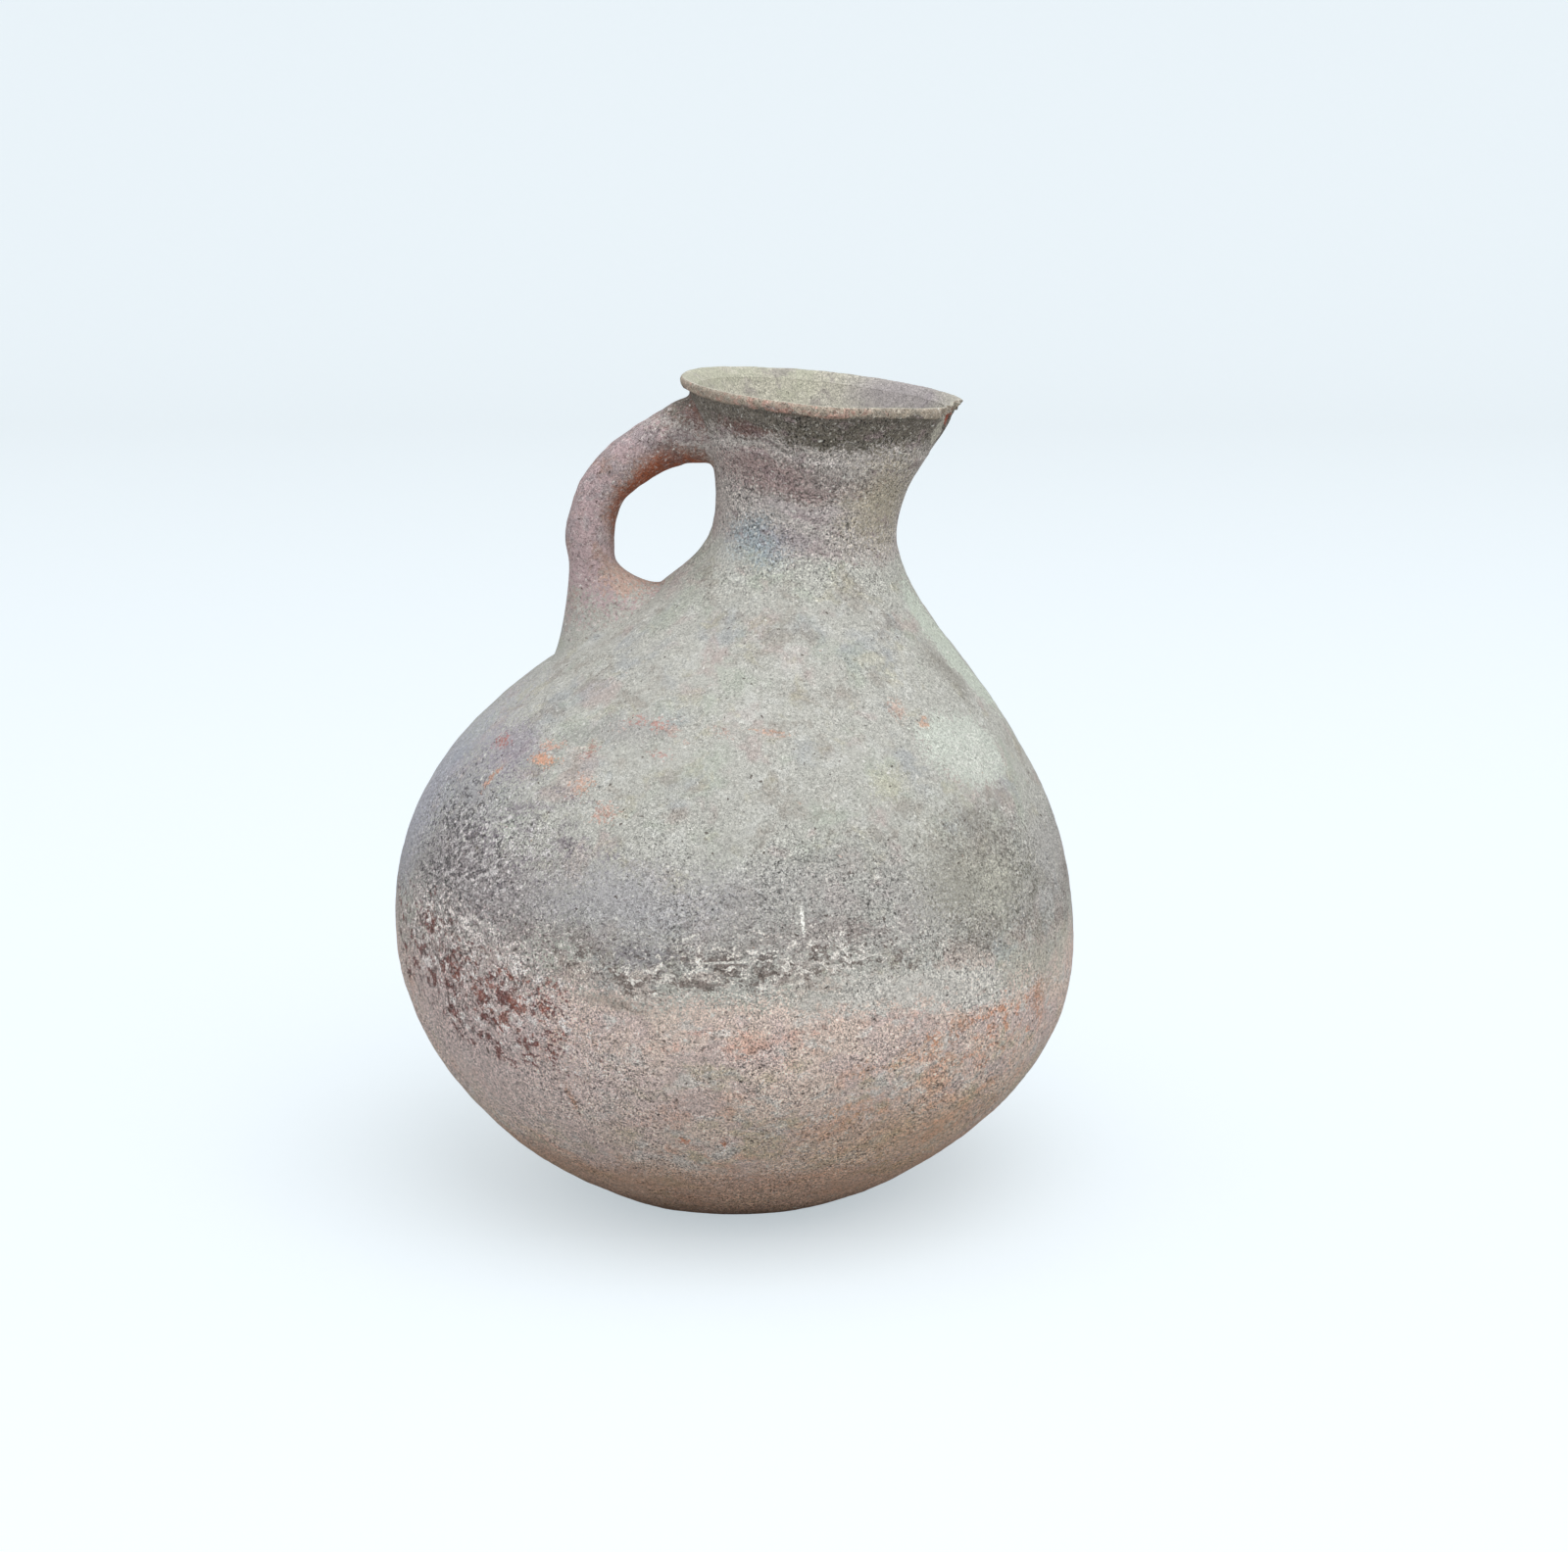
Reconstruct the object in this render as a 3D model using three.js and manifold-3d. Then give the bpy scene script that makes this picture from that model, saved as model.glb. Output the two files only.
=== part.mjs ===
// A hand-built terracotta jug: a low round body raised in courses of coils, a neck that leans
// towards the pouring side, a pinched mouth with a rolled rim, and one loop handle on clay pads.
// Millimetres, +Z up. The origin is the middle of the flat base and +X points to the spout.
import * as THREE from "three";
import { mergeVertices } from "three/addons/utils/BufferGeometryUtils.js";
import Module from "manifold-3d";

const wasm = await Module();
wasm.setup();

// Outside of the wall, taken as if the jug stood straight and round
const baseRadius = 49;
const bellyHeight = 106;
const bellyRadius = 137;
const bowlFullness = 2.12;
const bowlSpread = 1.2;
const throatHeight = 272;
const throatRadius = 36;
const shoulderPull = 102;
const neckPull = 43;
const mouthHeight = 318.5;
const mouthRadius = 50.8;
const flarePull = 22;
const lipPull = 13;
const lipSlope = 23;

// Thickness of the clay
const bodyWall = 7.5;
const neckWall = 6;
const floorThickness = 9;

// How the real jug departs from straight and round
const neckShift = 27.3;
const neckLean = 5.6;
const neckRoll = 3.5;
const leanBelowThroat = 6;
const leanHeight = 90;
const leanEnd = throatHeight - leanBelowThroat;
const leanStart = leanEnd - leanHeight;
const bodySway = 1.5;
const swayHeight = 96;
const swayLength = 164;
const mouthDepthShare = 0.88;
const spoutPinch = 0.13;
const spoutReach = 3.1;

// Where one course of clay is scarfed on to the next, as heights on the outside
const discSeam = 6;
const heelSeam = 44;
const bowlSeam = 86;
const bellySeam = 135;
const shoulderSeam = 192;
const crownBelowThroat = 25;
const flareCourse = 22.5;
const crownSeam = throatHeight - crownBelowThroat;
const neckSeam = mouthHeight - flareCourse;
const scarf = 5;
const luteGap = 0.3;

// Rolled rim
const rimHeight = 5.6;
const rimOverhang = 2.4;
const rimRounding = 2.2;
const rimUndercut = 1;

// Loop handle and the pads of clay that carry it
const handleThickness = 18.8;
const handleWidth = 24;
const handleReach = 57.2;
const topBelowMouth = 14;
const footBelowThroat = 46.5;
const elbowAboveFoot = 38.5;
const handleTop = mouthHeight - topBelowMouth;
const handleFoot = throatHeight - footBelowThroat;
const elbowHeight = handleFoot + elbowAboveFoot;
const topSlope = 20;
const topPull = 28;
const elbowPull = 24;
const heelPull = 14;
const footPull = 10;
const upperPadLength = 13;
const upperPadHigh = 14.5;
const upperPadWide = 15.5;
const lowerPadLength = 24;
const lowerPadHigh = 19.5;
const lowerPadWide = 19;
const padSpread = 15;
const padDip = 7;
const padLead = 0.75;
const padRoot = 3;

// Chip knocked out of the front of the spout
const chipHeight = 10;
const chipWidth = 13;
const chipDepth = 4.6;
const chipAngle = -8;
const chipDrop = 1;

const roundSegments = 48;
const handleSides = 20;
const handleSteps = 22;
const padSteps = 7;
const sameTravel = 1e-9;
const weldDistance = 1e-3;

const radians = THREE.MathUtils.degToRad;
const smooth = THREE.MathUtils.smoothstep;

// Outline of the outside, as [radius, height] pairs from the edge of the base to the mouth
function outsideLine() {
  const line = [];
  const bowlSteps = 60;
  for (let i = 0; i < bowlSteps; i++) {
    const height = bellyHeight * (1 - Math.cos((i / bowlSteps) * Math.PI / 2));
    const under = 1 - height / bellyHeight;
    const share = (1 - under ** bowlFullness) ** (1 / bowlSpread);
    line.push(new THREE.Vector2(baseRadius + (bellyRadius - baseRadius) * share, height));
  }
  const shoulder = new THREE.CubicBezierCurve(
    new THREE.Vector2(bellyRadius, bellyHeight),
    new THREE.Vector2(bellyRadius, bellyHeight + shoulderPull),
    new THREE.Vector2(throatRadius, throatHeight - neckPull),
    new THREE.Vector2(throatRadius, throatHeight),
  );
  const lipIn = lipPull * Math.tan(radians(lipSlope));
  const flare = new THREE.CubicBezierCurve(
    new THREE.Vector2(throatRadius, throatHeight),
    new THREE.Vector2(throatRadius, throatHeight + flarePull),
    new THREE.Vector2(mouthRadius - lipIn, mouthHeight - lipPull),
    new THREE.Vector2(mouthRadius, mouthHeight),
  );
  line.push(...shoulder.getPoints(120).slice(0, -1), ...flare.getPoints(50));
  return line;
}

const outside = outsideLine();

// Distance along the outside line at each of its points
const travelled = [0];
outside.forEach((point, i) => {
  if (i > 0) travelled.push(travelled[i - 1] + point.distanceTo(outside[i - 1]));
});
const wholeTravel = travelled[travelled.length - 1];

function travelAtHeight(height) {
  const above = outside.findIndex((point) => point.y >= height);
  const [low, high] = [outside[above - 1], outside[above]];
  const share = (height - low.y) / (high.y - low.y);
  return travelled[above - 1] + share * (travelled[above] - travelled[above - 1]);
}

// A point of the wall at a distance along the outside, so deep into the clay
function wallPoint(travel, depth) {
  const reached = travelled.findIndex((distance) => distance >= travel - sameTravel);
  const above = THREE.MathUtils.clamp(reached, 1, outside.length - 1);
  const [low, high] = [outside[above - 1], outside[above]];
  const share = (travel - travelled[above - 1]) / (travelled[above] - travelled[above - 1]);
  const along = high.clone().sub(low).normalize();
  const point = low.clone().lerp(high, share);
  return point.add(new THREE.Vector2(-along.y, along.x).multiplyScalar(depth));
}

function wallAt(travel) {
  const height = wallPoint(travel, 0).y;
  return THREE.MathUtils.lerp(bodyWall, neckWall, smooth(height, leanStart, throatHeight));
}

function stretch(from, to, count, pointAt) {
  return Array.from({ length: count + 1 }, (_, i) => pointAt(from + ((to - from) * i) / count));
}

const onOutside = (travel) => wallPoint(travel, 0);
const onInside = (travel) => wallPoint(travel, wallAt(travel));

// Turns the straight, round jug into the real one: the body sways, the neck leans and shifts
// towards the spout, and the mouth is narrowed and pinched
function lean(point) {
  const { x, y, z } = point;
  const share = smooth(z, leanStart, leanEnd);
  const opening = smooth(z, throatHeight, mouthHeight);
  const radius = Math.hypot(x, y);
  const towardsSpout = radius > 0 ? smooth(x / radius, 0, 0.6) : 0;
  const narrowing = 1 - (1 - mouthDepthShare) * opening;
  const depth = y * narrowing * (1 - spoutPinch * opening * towardsSpout);
  const leaning = radians(neckLean) * share;
  const rolling = radians(neckRoll) * share;
  const settle = 1 - smooth(z, leanStart, leanEnd);
  const sway = -bodySway * Math.sin((2 * Math.PI * (z - swayHeight)) / swayLength) * settle;
  const aboveLean = Math.max(0, z - leanEnd) * Math.sin(leaning);
  const drawn = spoutReach * opening * towardsSpout;
  return new THREE.Vector3(
    x * Math.cos(leaning) + drawn + sway * smooth(z, 0, discSeam) + neckShift * share + aboveLean,
    depth,
    z - x * Math.sin(leaning) + depth * Math.sin(rolling),
  );
}

// A profile of [radius, height] points turned round the axis and then leaned
function turned(profile) {
  const geometry = new THREE.LatheGeometry(profile, roundSegments);
  geometry.rotateX(Math.PI / 2);
  const position = geometry.getAttribute("position");
  for (let i = 0; i < position.count; i++) {
    const moved = lean(new THREE.Vector3().fromBufferAttribute(position, i));
    position.setXYZ(i, moved.x, moved.y, moved.z);
  }
  return geometry;
}

// One course of the wall between two seams. Its ends are scarfed: the inside sits higher
function course(lowSeam, highSeam, steps) {
  const from = travelAtHeight(lowSeam) + luteGap;
  const to = highSeam === mouthHeight ? wholeTravel : travelAtHeight(highSeam);
  const insideTo = highSeam === mouthHeight ? wholeTravel : to + scarf;
  const outer = stretch(from, to, steps, onOutside);
  const inner = stretch(insideTo, from + scarf, steps, onInside);
  return turned([...outer, ...inner, outer[0]]);
}

function baseDisc() {
  const seam = travelAtHeight(discSeam);
  const outer = stretch(0, seam, 5, onOutside);
  const innerEdge = onInside(seam + scarf);
  const floorEdge = new THREE.Vector2(baseRadius, floorThickness);
  return turned([
    new THREE.Vector2(0, 0),
    new THREE.Vector2(baseRadius / 2, 0),
    ...outer,
    innerEdge,
    floorEdge,
    new THREE.Vector2(baseRadius / 2, floorThickness),
    new THREE.Vector2(0, floorThickness),
  ]);
}

// Section of the rolled rim: flat below, flush with the inside, standing proud outside
function rimSection(grow) {
  const end = onOutside(wholeTravel);
  const inward = onInside(wholeTravel).sub(end).normalize();
  const up = new THREE.Vector2(inward.y, -inward.x);
  const at = (depth, rise) =>
    end.clone().addScaledVector(inward, depth).addScaledVector(up, rise);
  const wall = wallAt(wholeTravel);
  const proud = -rimOverhang - grow;
  const top = rimHeight + grow;
  return [
    at(wall, luteGap - grow),
    at(proud + rimUndercut, luteGap - grow),
    at(proud, luteGap + rimUndercut),
    at(proud, top - rimRounding),
    at(proud + rimRounding / 2, top - rimRounding / 4),
    at(proud + rimRounding * 1.6, top),
    at(wall - rimRounding, top - rimRounding / 6),
    at(wall - rimRounding / 4, top - rimRounding / 2),
    at(wall, top - rimRounding),
  ];
}

function rimRoll() {
  const section = rimSection(0);
  return turned([...section.slice(1), section[0], section[1]]);
}

// Everything inside the outer skin, swollen by a gap, to cut pieces that sit against it
function envelope(gap) {
  const skin = stretch(0, wholeTravel, 70, (travel) => wallPoint(travel, -gap));
  const rim = rimSection(gap).slice(1, 6);
  const top = rim[rim.length - 1].y;
  return turned([new THREE.Vector2(0, -gap), ...skin, ...rim, new THREE.Vector2(0, top)]);
}

function solid(geometry) {
  const bare = geometry.clone();
  bare.deleteAttribute("normal");
  bare.deleteAttribute("uv");
  const merged = mergeVertices(bare, weldDistance);
  return new wasm.Manifold(
    new wasm.Mesh({
      numProp: 3,
      vertProperties: new Float32Array(merged.getAttribute("position").array),
      triVerts: new Uint32Array(merged.index.array),
    }),
  );
}

function geometryOf(made) {
  const mesh = made.getMesh();
  return new THREE.BufferGeometry()
    .setAttribute("position", new THREE.BufferAttribute(mesh.vertProperties, 3))
    .setIndex(new THREE.BufferAttribute(mesh.triVerts, 1));
}

// A point of the leaned wall on the handle's side: how far along, sideways and deep it lies
function onWall(travel, sideways, depth) {
  const point = wallPoint(travel, depth);
  const angle = Math.PI - sideways / point.x;
  return lean(new THREE.Vector3(point.x * Math.cos(angle), point.x * Math.sin(angle), point.y));
}

// Middle line of the handle, from the wall of the neck to the wall of the shoulder
function handleLine() {
  const top = onWall(travelAtHeight(handleTop), 0, 0);
  const foot = onWall(travelAtHeight(handleFoot), 0, 0);
  const out = new THREE.Vector3(-Math.cos(radians(topSlope)), 0, -Math.sin(radians(topSlope)));
  const elbow = new THREE.Vector3(-handleReach, 0, elbowHeight);
  const up = new THREE.Vector3(0, 0, 1);
  const line = new THREE.CurvePath();
  line.add(
    new THREE.CubicBezierCurve3(
      top,
      top.clone().addScaledVector(out, topPull),
      elbow.clone().addScaledVector(up, elbowPull),
      elbow,
    ),
  );
  line.add(
    new THREE.CubicBezierCurve3(
      elbow,
      elbow.clone().addScaledVector(up, -heelPull),
      foot.clone().addScaledVector(up, footPull),
      foot,
    ),
  );
  return line;
}

const sideAngles = Array.from({ length: handleSides }, (_, i) => (2 * Math.PI * i) / handleSides);

// The oval section of the handle at a distance along its middle line
function handleRing(distance) {
  const share = distance / line.getLength();
  const middle = line.getPointAt(share);
  const along = line.getTangentAt(share);
  const across = new THREE.Vector3(along.z, 0, -along.x);
  const corners = sideAngles.map((angle) => {
    const corner = middle.clone();
    corner.addScaledVector(across, (handleThickness / 2) * Math.cos(angle));
    corner.y += (handleWidth / 2) * Math.sin(angle);
    return corner;
  });
  return { corners, along };
}

// Closed skin over rings of points that lie one after another
function loft(rings) {
  const vertices = rings.flat().flatMap((point) => [point.x, point.y, point.z]);
  const indices = [];
  for (let i = 0; i < rings.length - 1; i++) {
    for (let side = 0; side < handleSides; side++) {
      const a = i * handleSides + side;
      const b = i * handleSides + ((side + 1) % handleSides);
      indices.push(a, b, a + handleSides, b, b + handleSides, a + handleSides);
    }
  }
  const last = (rings.length - 1) * handleSides;
  for (let side = 1; side < handleSides - 1; side++) {
    indices.push(0, side + 1, side, last, last + side, last + side + 1);
  }
  return new THREE.BufferGeometry()
    .setAttribute("position", new THREE.Float32BufferAttribute(vertices, 3))
    .setIndex(indices);
}

function handleRod(from, to) {
  return loft(stretch(from, to, handleSteps, (distance) => handleRing(distance).corners));
}

// Clay smeared from the end of the rod down on to the wall, cut to sit against the wall
function handlePad({ ringAt, height, high, wide, upper }) {
  const { corners, along } = handleRing(ringAt);
  const reach = upper ? ringAt : line.getLength() - ringAt;
  const towardsWall = along.clone().multiplyScalar((upper ? -1 : 1) * padLead * reach);
  const centre = travelAtHeight(height);
  const side = upper ? 1 : -1;
  const landed = (angle, grow, depth) =>
    onWall(
      centre + side * (high + grow) * Math.cos(angle),
      (wide + grow) * Math.sin(angle),
      depth,
    );
  const ringsOnWay = stretch(0, 1, padSteps, (t) =>
    corners.map((corner, i) => {
      const angle = sideAngles[i];
      const landing = landed(angle, 0, 0);
      const outward = landing.clone().sub(landed(angle, -1, 0)).normalize();
      const inward = landed(angle, 0, 1).sub(landing).normalize();
      const arriving = outward.multiplyScalar(padSpread).addScaledVector(inward, padDip);
      return new THREE.Vector3()
        .addScaledVector(corner, 2 * t ** 3 - 3 * t ** 2 + 1)
        .addScaledVector(towardsWall, t ** 3 - 2 * t ** 2 + t)
        .addScaledVector(landing, 3 * t ** 2 - 2 * t ** 3)
        .addScaledVector(arriving, t ** 3 - t ** 2);
    }),
  );
  const buried = sideAngles.map((angle) => landed(angle, 0, padRoot));
  const rings = [...ringsOnWay, buried];
  return geometryOf(solid(loft(upper ? rings.reverse() : rings)).subtract(skin));
}

// Rough lens of clay missing from the front of the spout
function spoutChip() {
  const edge = wallPoint(wholeTravel - chipDrop, -rimOverhang);
  const angle = radians(chipAngle);
  const place = lean(new THREE.Vector3(edge.x * Math.cos(angle), edge.x * Math.sin(angle), edge.y));
  const geometry = new THREE.IcosahedronGeometry(1, 1);
  geometry.scale(chipDepth, chipWidth, chipHeight);
  geometry.rotateY(radians(lipSlope + neckLean));
  geometry.rotateZ(angle);
  geometry.translate(place.x, place.y, place.z);
  return geometry;
}

const jug = new THREE.Group();

function clay(color, roughness) {
  return new THREE.MeshStandardMaterial({ color, roughness, metalness: 0 });
}

const smokedClay = clay("#9c9187", 0.92);
const buffClay = clay("#aaa295", 0.93);
const redClay = clay("#ab8c7e", 0.9);
const mauveClay = clay("#a28c85", 0.9);

function place(name, geometry, material) {
  const mesh = new THREE.Mesh(geometry, material);
  mesh.name = name;
  jug.add(mesh);
}

const line = handleLine();
const handleLength = line.getLength();
const skin = solid(envelope(luteGap));
const chip = solid(spoutChip());

place("base_disc", baseDisc(), redClay);
place("heel_course", course(discSeam, heelSeam, 6), redClay);
place("lower_bowl", course(heelSeam, bowlSeam, 5), redClay);
place("belly_course", course(bowlSeam, bellySeam, 4), smokedClay);
place("shoulder_course", course(bellySeam, shoulderSeam, 6), smokedClay);
place("crown_course", course(shoulderSeam, crownSeam, 7), buffClay);
place("neck_ring", course(crownSeam, neckSeam, 6), smokedClay);
place("mouth_flare", geometryOf(solid(course(neckSeam, mouthHeight, 5)).subtract(chip)), smokedClay);
place("rim_roll", geometryOf(solid(rimRoll()).subtract(chip)), buffClay);
place(
  "handle_upper_pad",
  handlePad({
    ringAt: upperPadLength,
    height: handleTop,
    high: upperPadHigh,
    wide: upperPadWide,
    upper: true,
  }),
  mauveClay,
);
place(
  "handle_rod",
  handleRod(upperPadLength + luteGap, handleLength - lowerPadLength - luteGap),
  mauveClay,
);
place(
  "handle_lower_pad",
  handlePad({
    ringAt: handleLength - lowerPadLength,
    height: handleFoot,
    high: lowerPadHigh,
    wide: lowerPadWide,
    upper: false,
  }),
  mauveClay,
);

export default jug;
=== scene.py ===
import bpy
import math
import numpy as np
from mathutils import Matrix, Vector


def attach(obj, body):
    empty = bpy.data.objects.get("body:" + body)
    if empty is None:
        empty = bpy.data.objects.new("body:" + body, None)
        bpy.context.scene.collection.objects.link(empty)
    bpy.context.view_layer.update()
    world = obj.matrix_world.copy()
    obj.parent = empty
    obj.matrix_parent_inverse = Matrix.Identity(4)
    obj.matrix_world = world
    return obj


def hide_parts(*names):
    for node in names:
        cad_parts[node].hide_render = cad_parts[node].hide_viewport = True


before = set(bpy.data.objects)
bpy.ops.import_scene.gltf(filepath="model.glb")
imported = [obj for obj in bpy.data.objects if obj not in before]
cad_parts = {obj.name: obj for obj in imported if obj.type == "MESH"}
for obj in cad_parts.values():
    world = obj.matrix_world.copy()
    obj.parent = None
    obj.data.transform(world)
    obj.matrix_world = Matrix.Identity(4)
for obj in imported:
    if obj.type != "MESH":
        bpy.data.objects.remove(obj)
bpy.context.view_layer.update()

mm = 0.001

# Sizes in millimetres. Travel is the distance along the outside of the wall, up from the base edge
wall = {
    "baseRadius": 49, "bellyHeight": 106, "bellyRadius": 137,
    "bowlFullness": 2.12, "bowlSpread": 1.2,
    "throatHeight": 272, "throatRadius": 36, "shoulderPull": 102, "neckPull": 43,
    "mouthHeight": 318.5, "mouthRadius": 50.8, "flarePull": 22, "lipPull": 13, "lipSlope": 23,
    "bodyWall": 7.5, "neckWall": 6, "lipWall": 3.6, "lipThinning": 26, "floorThickness": 9,
}

# How the jug departs from straight and round
leaning = {
    "shift": 27.3, "lean": 5.6, "roll": 3.5, "start": 176, "end": 266,
    "sway": 1.5, "swayHeight": 96, "swayLength": 164, "swayFrom": 6,
    "depthShare": 0.88, "spoutPinch": 0.13, "spoutReach": 3.1, "spoutSpread": 0.6,
}

# Heights of the seams on both sides of each course of clay
courses = {
    "base_disc": (0, 6), "heel_course": (6, 44), "lower_bowl": (44, 86), "belly_course": (86, 135),
    "shoulder_course": (135, 192), "crown_course": (192, 247), "neck_ring": (247, 296),
    "mouth_flare": (296, 318.5),
}

# How finely the skins are made, and how far the inner end of a seam lies above the outer end
mesh = {"around": 600, "rowSpacing": 1.35, "insideRows": 4.5, "scarf": 5}


def smooth(value, low, high):
    share = np.clip((value - low) / (high - low), 0, 1)
    return share * share * (3 - 2 * share)


def bezier(a, b, c, d, steps):
    t = np.linspace(0, 1, steps + 1)[:, None]
    shares = np.hstack([(1 - t) ** 3, 3 * t * (1 - t) ** 2, 3 * t * t * (1 - t), t ** 3])
    return shares @ np.array([a, b, c, d], float)


def unit(arrows):  # each arrow drawn out or in to a length of 1
    return arrows / np.linalg.norm(arrows, axis=-1)[..., None]


def outsideLine():
    bellyRadius, bellyHeight = belly = wall["bellyRadius"], wall["bellyHeight"]
    throatRadius, throatHeight = throat = wall["throatRadius"], wall["throatHeight"]
    mouthRadius, mouthHeight = mouth = wall["mouthRadius"], wall["mouthHeight"]
    height = bellyHeight * (1 - np.cos(np.linspace(0, np.pi / 2, 241)))[:-1]
    under = 1 - height / bellyHeight
    share = (1 - under ** wall["bowlFullness"]) ** (1 / wall["bowlSpread"])
    bowl = np.column_stack([wall["baseRadius"] + (bellyRadius - wall["baseRadius"]) * share, height])
    shoulder = bezier(belly, (bellyRadius, bellyHeight + wall["shoulderPull"]),
                      (throatRadius, throatHeight - wall["neckPull"]), throat, 480)
    lipIn = wall["lipPull"] * math.tan(math.radians(wall["lipSlope"]))
    flare = bezier(throat, (throatRadius, throatHeight + wall["flarePull"]),
                   (mouthRadius - lipIn, mouthHeight - wall["lipPull"]), mouth, 200)
    return np.vstack([bowl, shoulder[:-1], flare])


outside = outsideLine()
travelled = np.concatenate([[0], np.cumsum(np.hypot(*np.diff(outside, axis=0).T))])
wholeTravel = travelled[-1]
outsideSlope = unit(np.gradient(outside, travelled, axis=0))


def travelAt(height):
    return float(np.interp(height, outside[:, 1], travelled))


def profileAt(travel, depth):  # radius and height of the straight jug, so deep in the clay
    radius = np.interp(travel, travelled, outside[:, 0])
    height = np.interp(travel, travelled, outside[:, 1])
    alongR = np.interp(travel, travelled, outsideSlope[:, 0])
    alongZ = np.interp(travel, travelled, outsideSlope[:, 1])
    return radius - alongZ * depth, height + alongR * depth


def thicknessAt(travel):
    height = np.interp(travel, travelled, outside[:, 1])
    thickness = wall["bodyWall"] + (wall["neckWall"] - wall["bodyWall"]) * smooth(
        height, leaning["start"], wall["throatHeight"])
    return thickness + (wall["lipWall"] - wall["neckWall"]) * smooth(
        height, wall["mouthHeight"] - wall["lipThinning"], wall["mouthHeight"])


def lean(x, y, z):
    share = smooth(z, leaning["start"], leaning["end"])
    opening = smooth(z, wall["throatHeight"], wall["mouthHeight"])
    radius = np.maximum(np.hypot(x, y), 1e-6)
    towardsSpout = smooth(x / radius, 0, leaning["spoutSpread"])
    narrowing = 1 - (1 - leaning["depthShare"]) * opening
    depth = y * narrowing * (1 - leaning["spoutPinch"] * opening * towardsSpout)
    tilt = np.radians(leaning["lean"]) * share
    roll = np.radians(leaning["roll"]) * share
    wave = np.sin(2 * np.pi * (z - leaning["swayHeight"]) / leaning["swayLength"])
    sway = -leaning["sway"] * wave * (1 - share) * smooth(z, 0, leaning["swayFrom"])
    above = np.maximum(0, z - leaning["end"]) * np.sin(tilt)
    drawn = leaning["spoutReach"] * opening * towardsSpout
    return np.stack([
        x * np.cos(tilt) + drawn + sway + leaning["shift"] * share + above,
        depth,
        z - x * np.sin(tilt) + depth * np.sin(roll),
    ], -1)


def roundPoint(travel, angle, depth):
    radius, height = profileAt(travel, depth)
    return lean(radius * np.cos(angle), radius * np.sin(angle), height)


# Soft lumps of one wavelength, between about -1 and 1, the same on every run
def lumps(points, wavelength, seed, waves=14):
    random = np.random.default_rng(seed)
    directions = unit(random.normal(size=(waves, 3)))
    stretch = random.uniform(0.75, 1.3, waves)
    phases = random.uniform(0, 2 * np.pi, waves)
    total = np.zeros(points.shape[:-1])
    for direction, pace, phase in zip(directions, stretch, phases):
        total += np.sin(points @ direction * (2 * np.pi * pace / wavelength) + phase)
    return total / math.sqrt(waves)


# What hands and tools left on the wall
working = {
    "lumps": ((0.30, 95, 11), (0.20, 36, 12), (0.10, 13, 13), (0.05, 4.5, 14)),  # height, wavelength, seed
    "neckFrom": 240, "neckTo": 262, "neckCalm": 0.45,
    "turning": 0.05, "turningPitch": 6.5, "turningBend": 1.6, "bendWave": 24, "fadeWave": 30,
    "ledge": 0.75, "ledgeHeight": 303, "ledgeEdge": 1.6, "ledgeFade": 17,
    "ledgeSlant": 1.2, "ledgeBack": 0.45,
    "calmBase": 14, "calmLip": 12, "inside": 0.4, "insideWave": 40, "insideLip": 16,
}


def reliefAt(travel, angle):
    place = roundPoint(travel, angle, 0)
    neck = smooth(travel, travelAt(working["neckFrom"]), travelAt(working["neckTo"]))
    lift = sum(high * lumps(place, wave, seed) for high, wave, seed in working["lumps"])
    bend = working["turningBend"] * lumps(place, working["bendWave"], 15)
    ring = np.sin(2 * np.pi * travel / working["turningPitch"] + bend)
    ring = ring * (0.5 + 0.5 * lumps(place, working["fadeWave"], 16))
    lift = lift * (1 - working["neckCalm"] * neck) + working["turning"] * (0.4 + neck) * ring
    # Ledge under the mouth, where the flared course was smoothed down over the neck
    below = travelAt(working["ledgeHeight"]) + working["ledgeSlant"] * np.sin(angle * 2 + 1) - travel
    step = smooth(below, 0, working["ledgeEdge"])
    step = step * (1 - smooth(below, working["ledgeEdge"], working["ledgeFade"]))
    front = np.clip(-np.sin(angle + 0.5), 0, 1)
    lift = lift + working["ledge"] * step * (working["ledgeBack"] + (1 - working["ledgeBack"]) * front)
    nearBase = smooth(travel, 0, working["calmBase"])
    nearLip = 1 - smooth(travel, wholeTravel - working["calmLip"], wholeTravel - 2)
    return lift * nearBase * nearLip


def outerPoint(travel, angle):
    return roundPoint(travel, angle, -reliefAt(travel, angle))


def innerPoint(travel, angle):
    place = roundPoint(travel, angle, 0)
    lump = working["inside"] * smooth(wholeTravel - travel, 1, working["insideLip"])
    return roundPoint(travel, angle, thicknessAt(travel) + lump * lumps(place, working["insideWave"], 21))


def normalsOf(pointAt, travel, angle, outward):
    step = 0.4
    turn = step / 100
    alongTravel = pointAt(travel + step, angle) - pointAt(travel - step, angle)
    alongAngle = pointAt(travel, angle + turn) - pointAt(travel, angle - turn)
    return unit(np.cross(alongAngle, alongTravel) * outward)


angles = np.linspace(0, 2 * np.pi, mesh["around"], endpoint=False)
print("wall profile ready")


def ringAt(pointAt, row):
    return pointAt(np.full_like(angles, row), angles)


def normalsAt(pointAt, row):
    return normalsOf(pointAt, np.full_like(angles, row), angles, 1 if pointAt is outerPoint else -1)


def flatRing(radius):
    return np.column_stack([radius * np.cos(angles), radius * np.sin(angles), 0 * angles])


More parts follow.
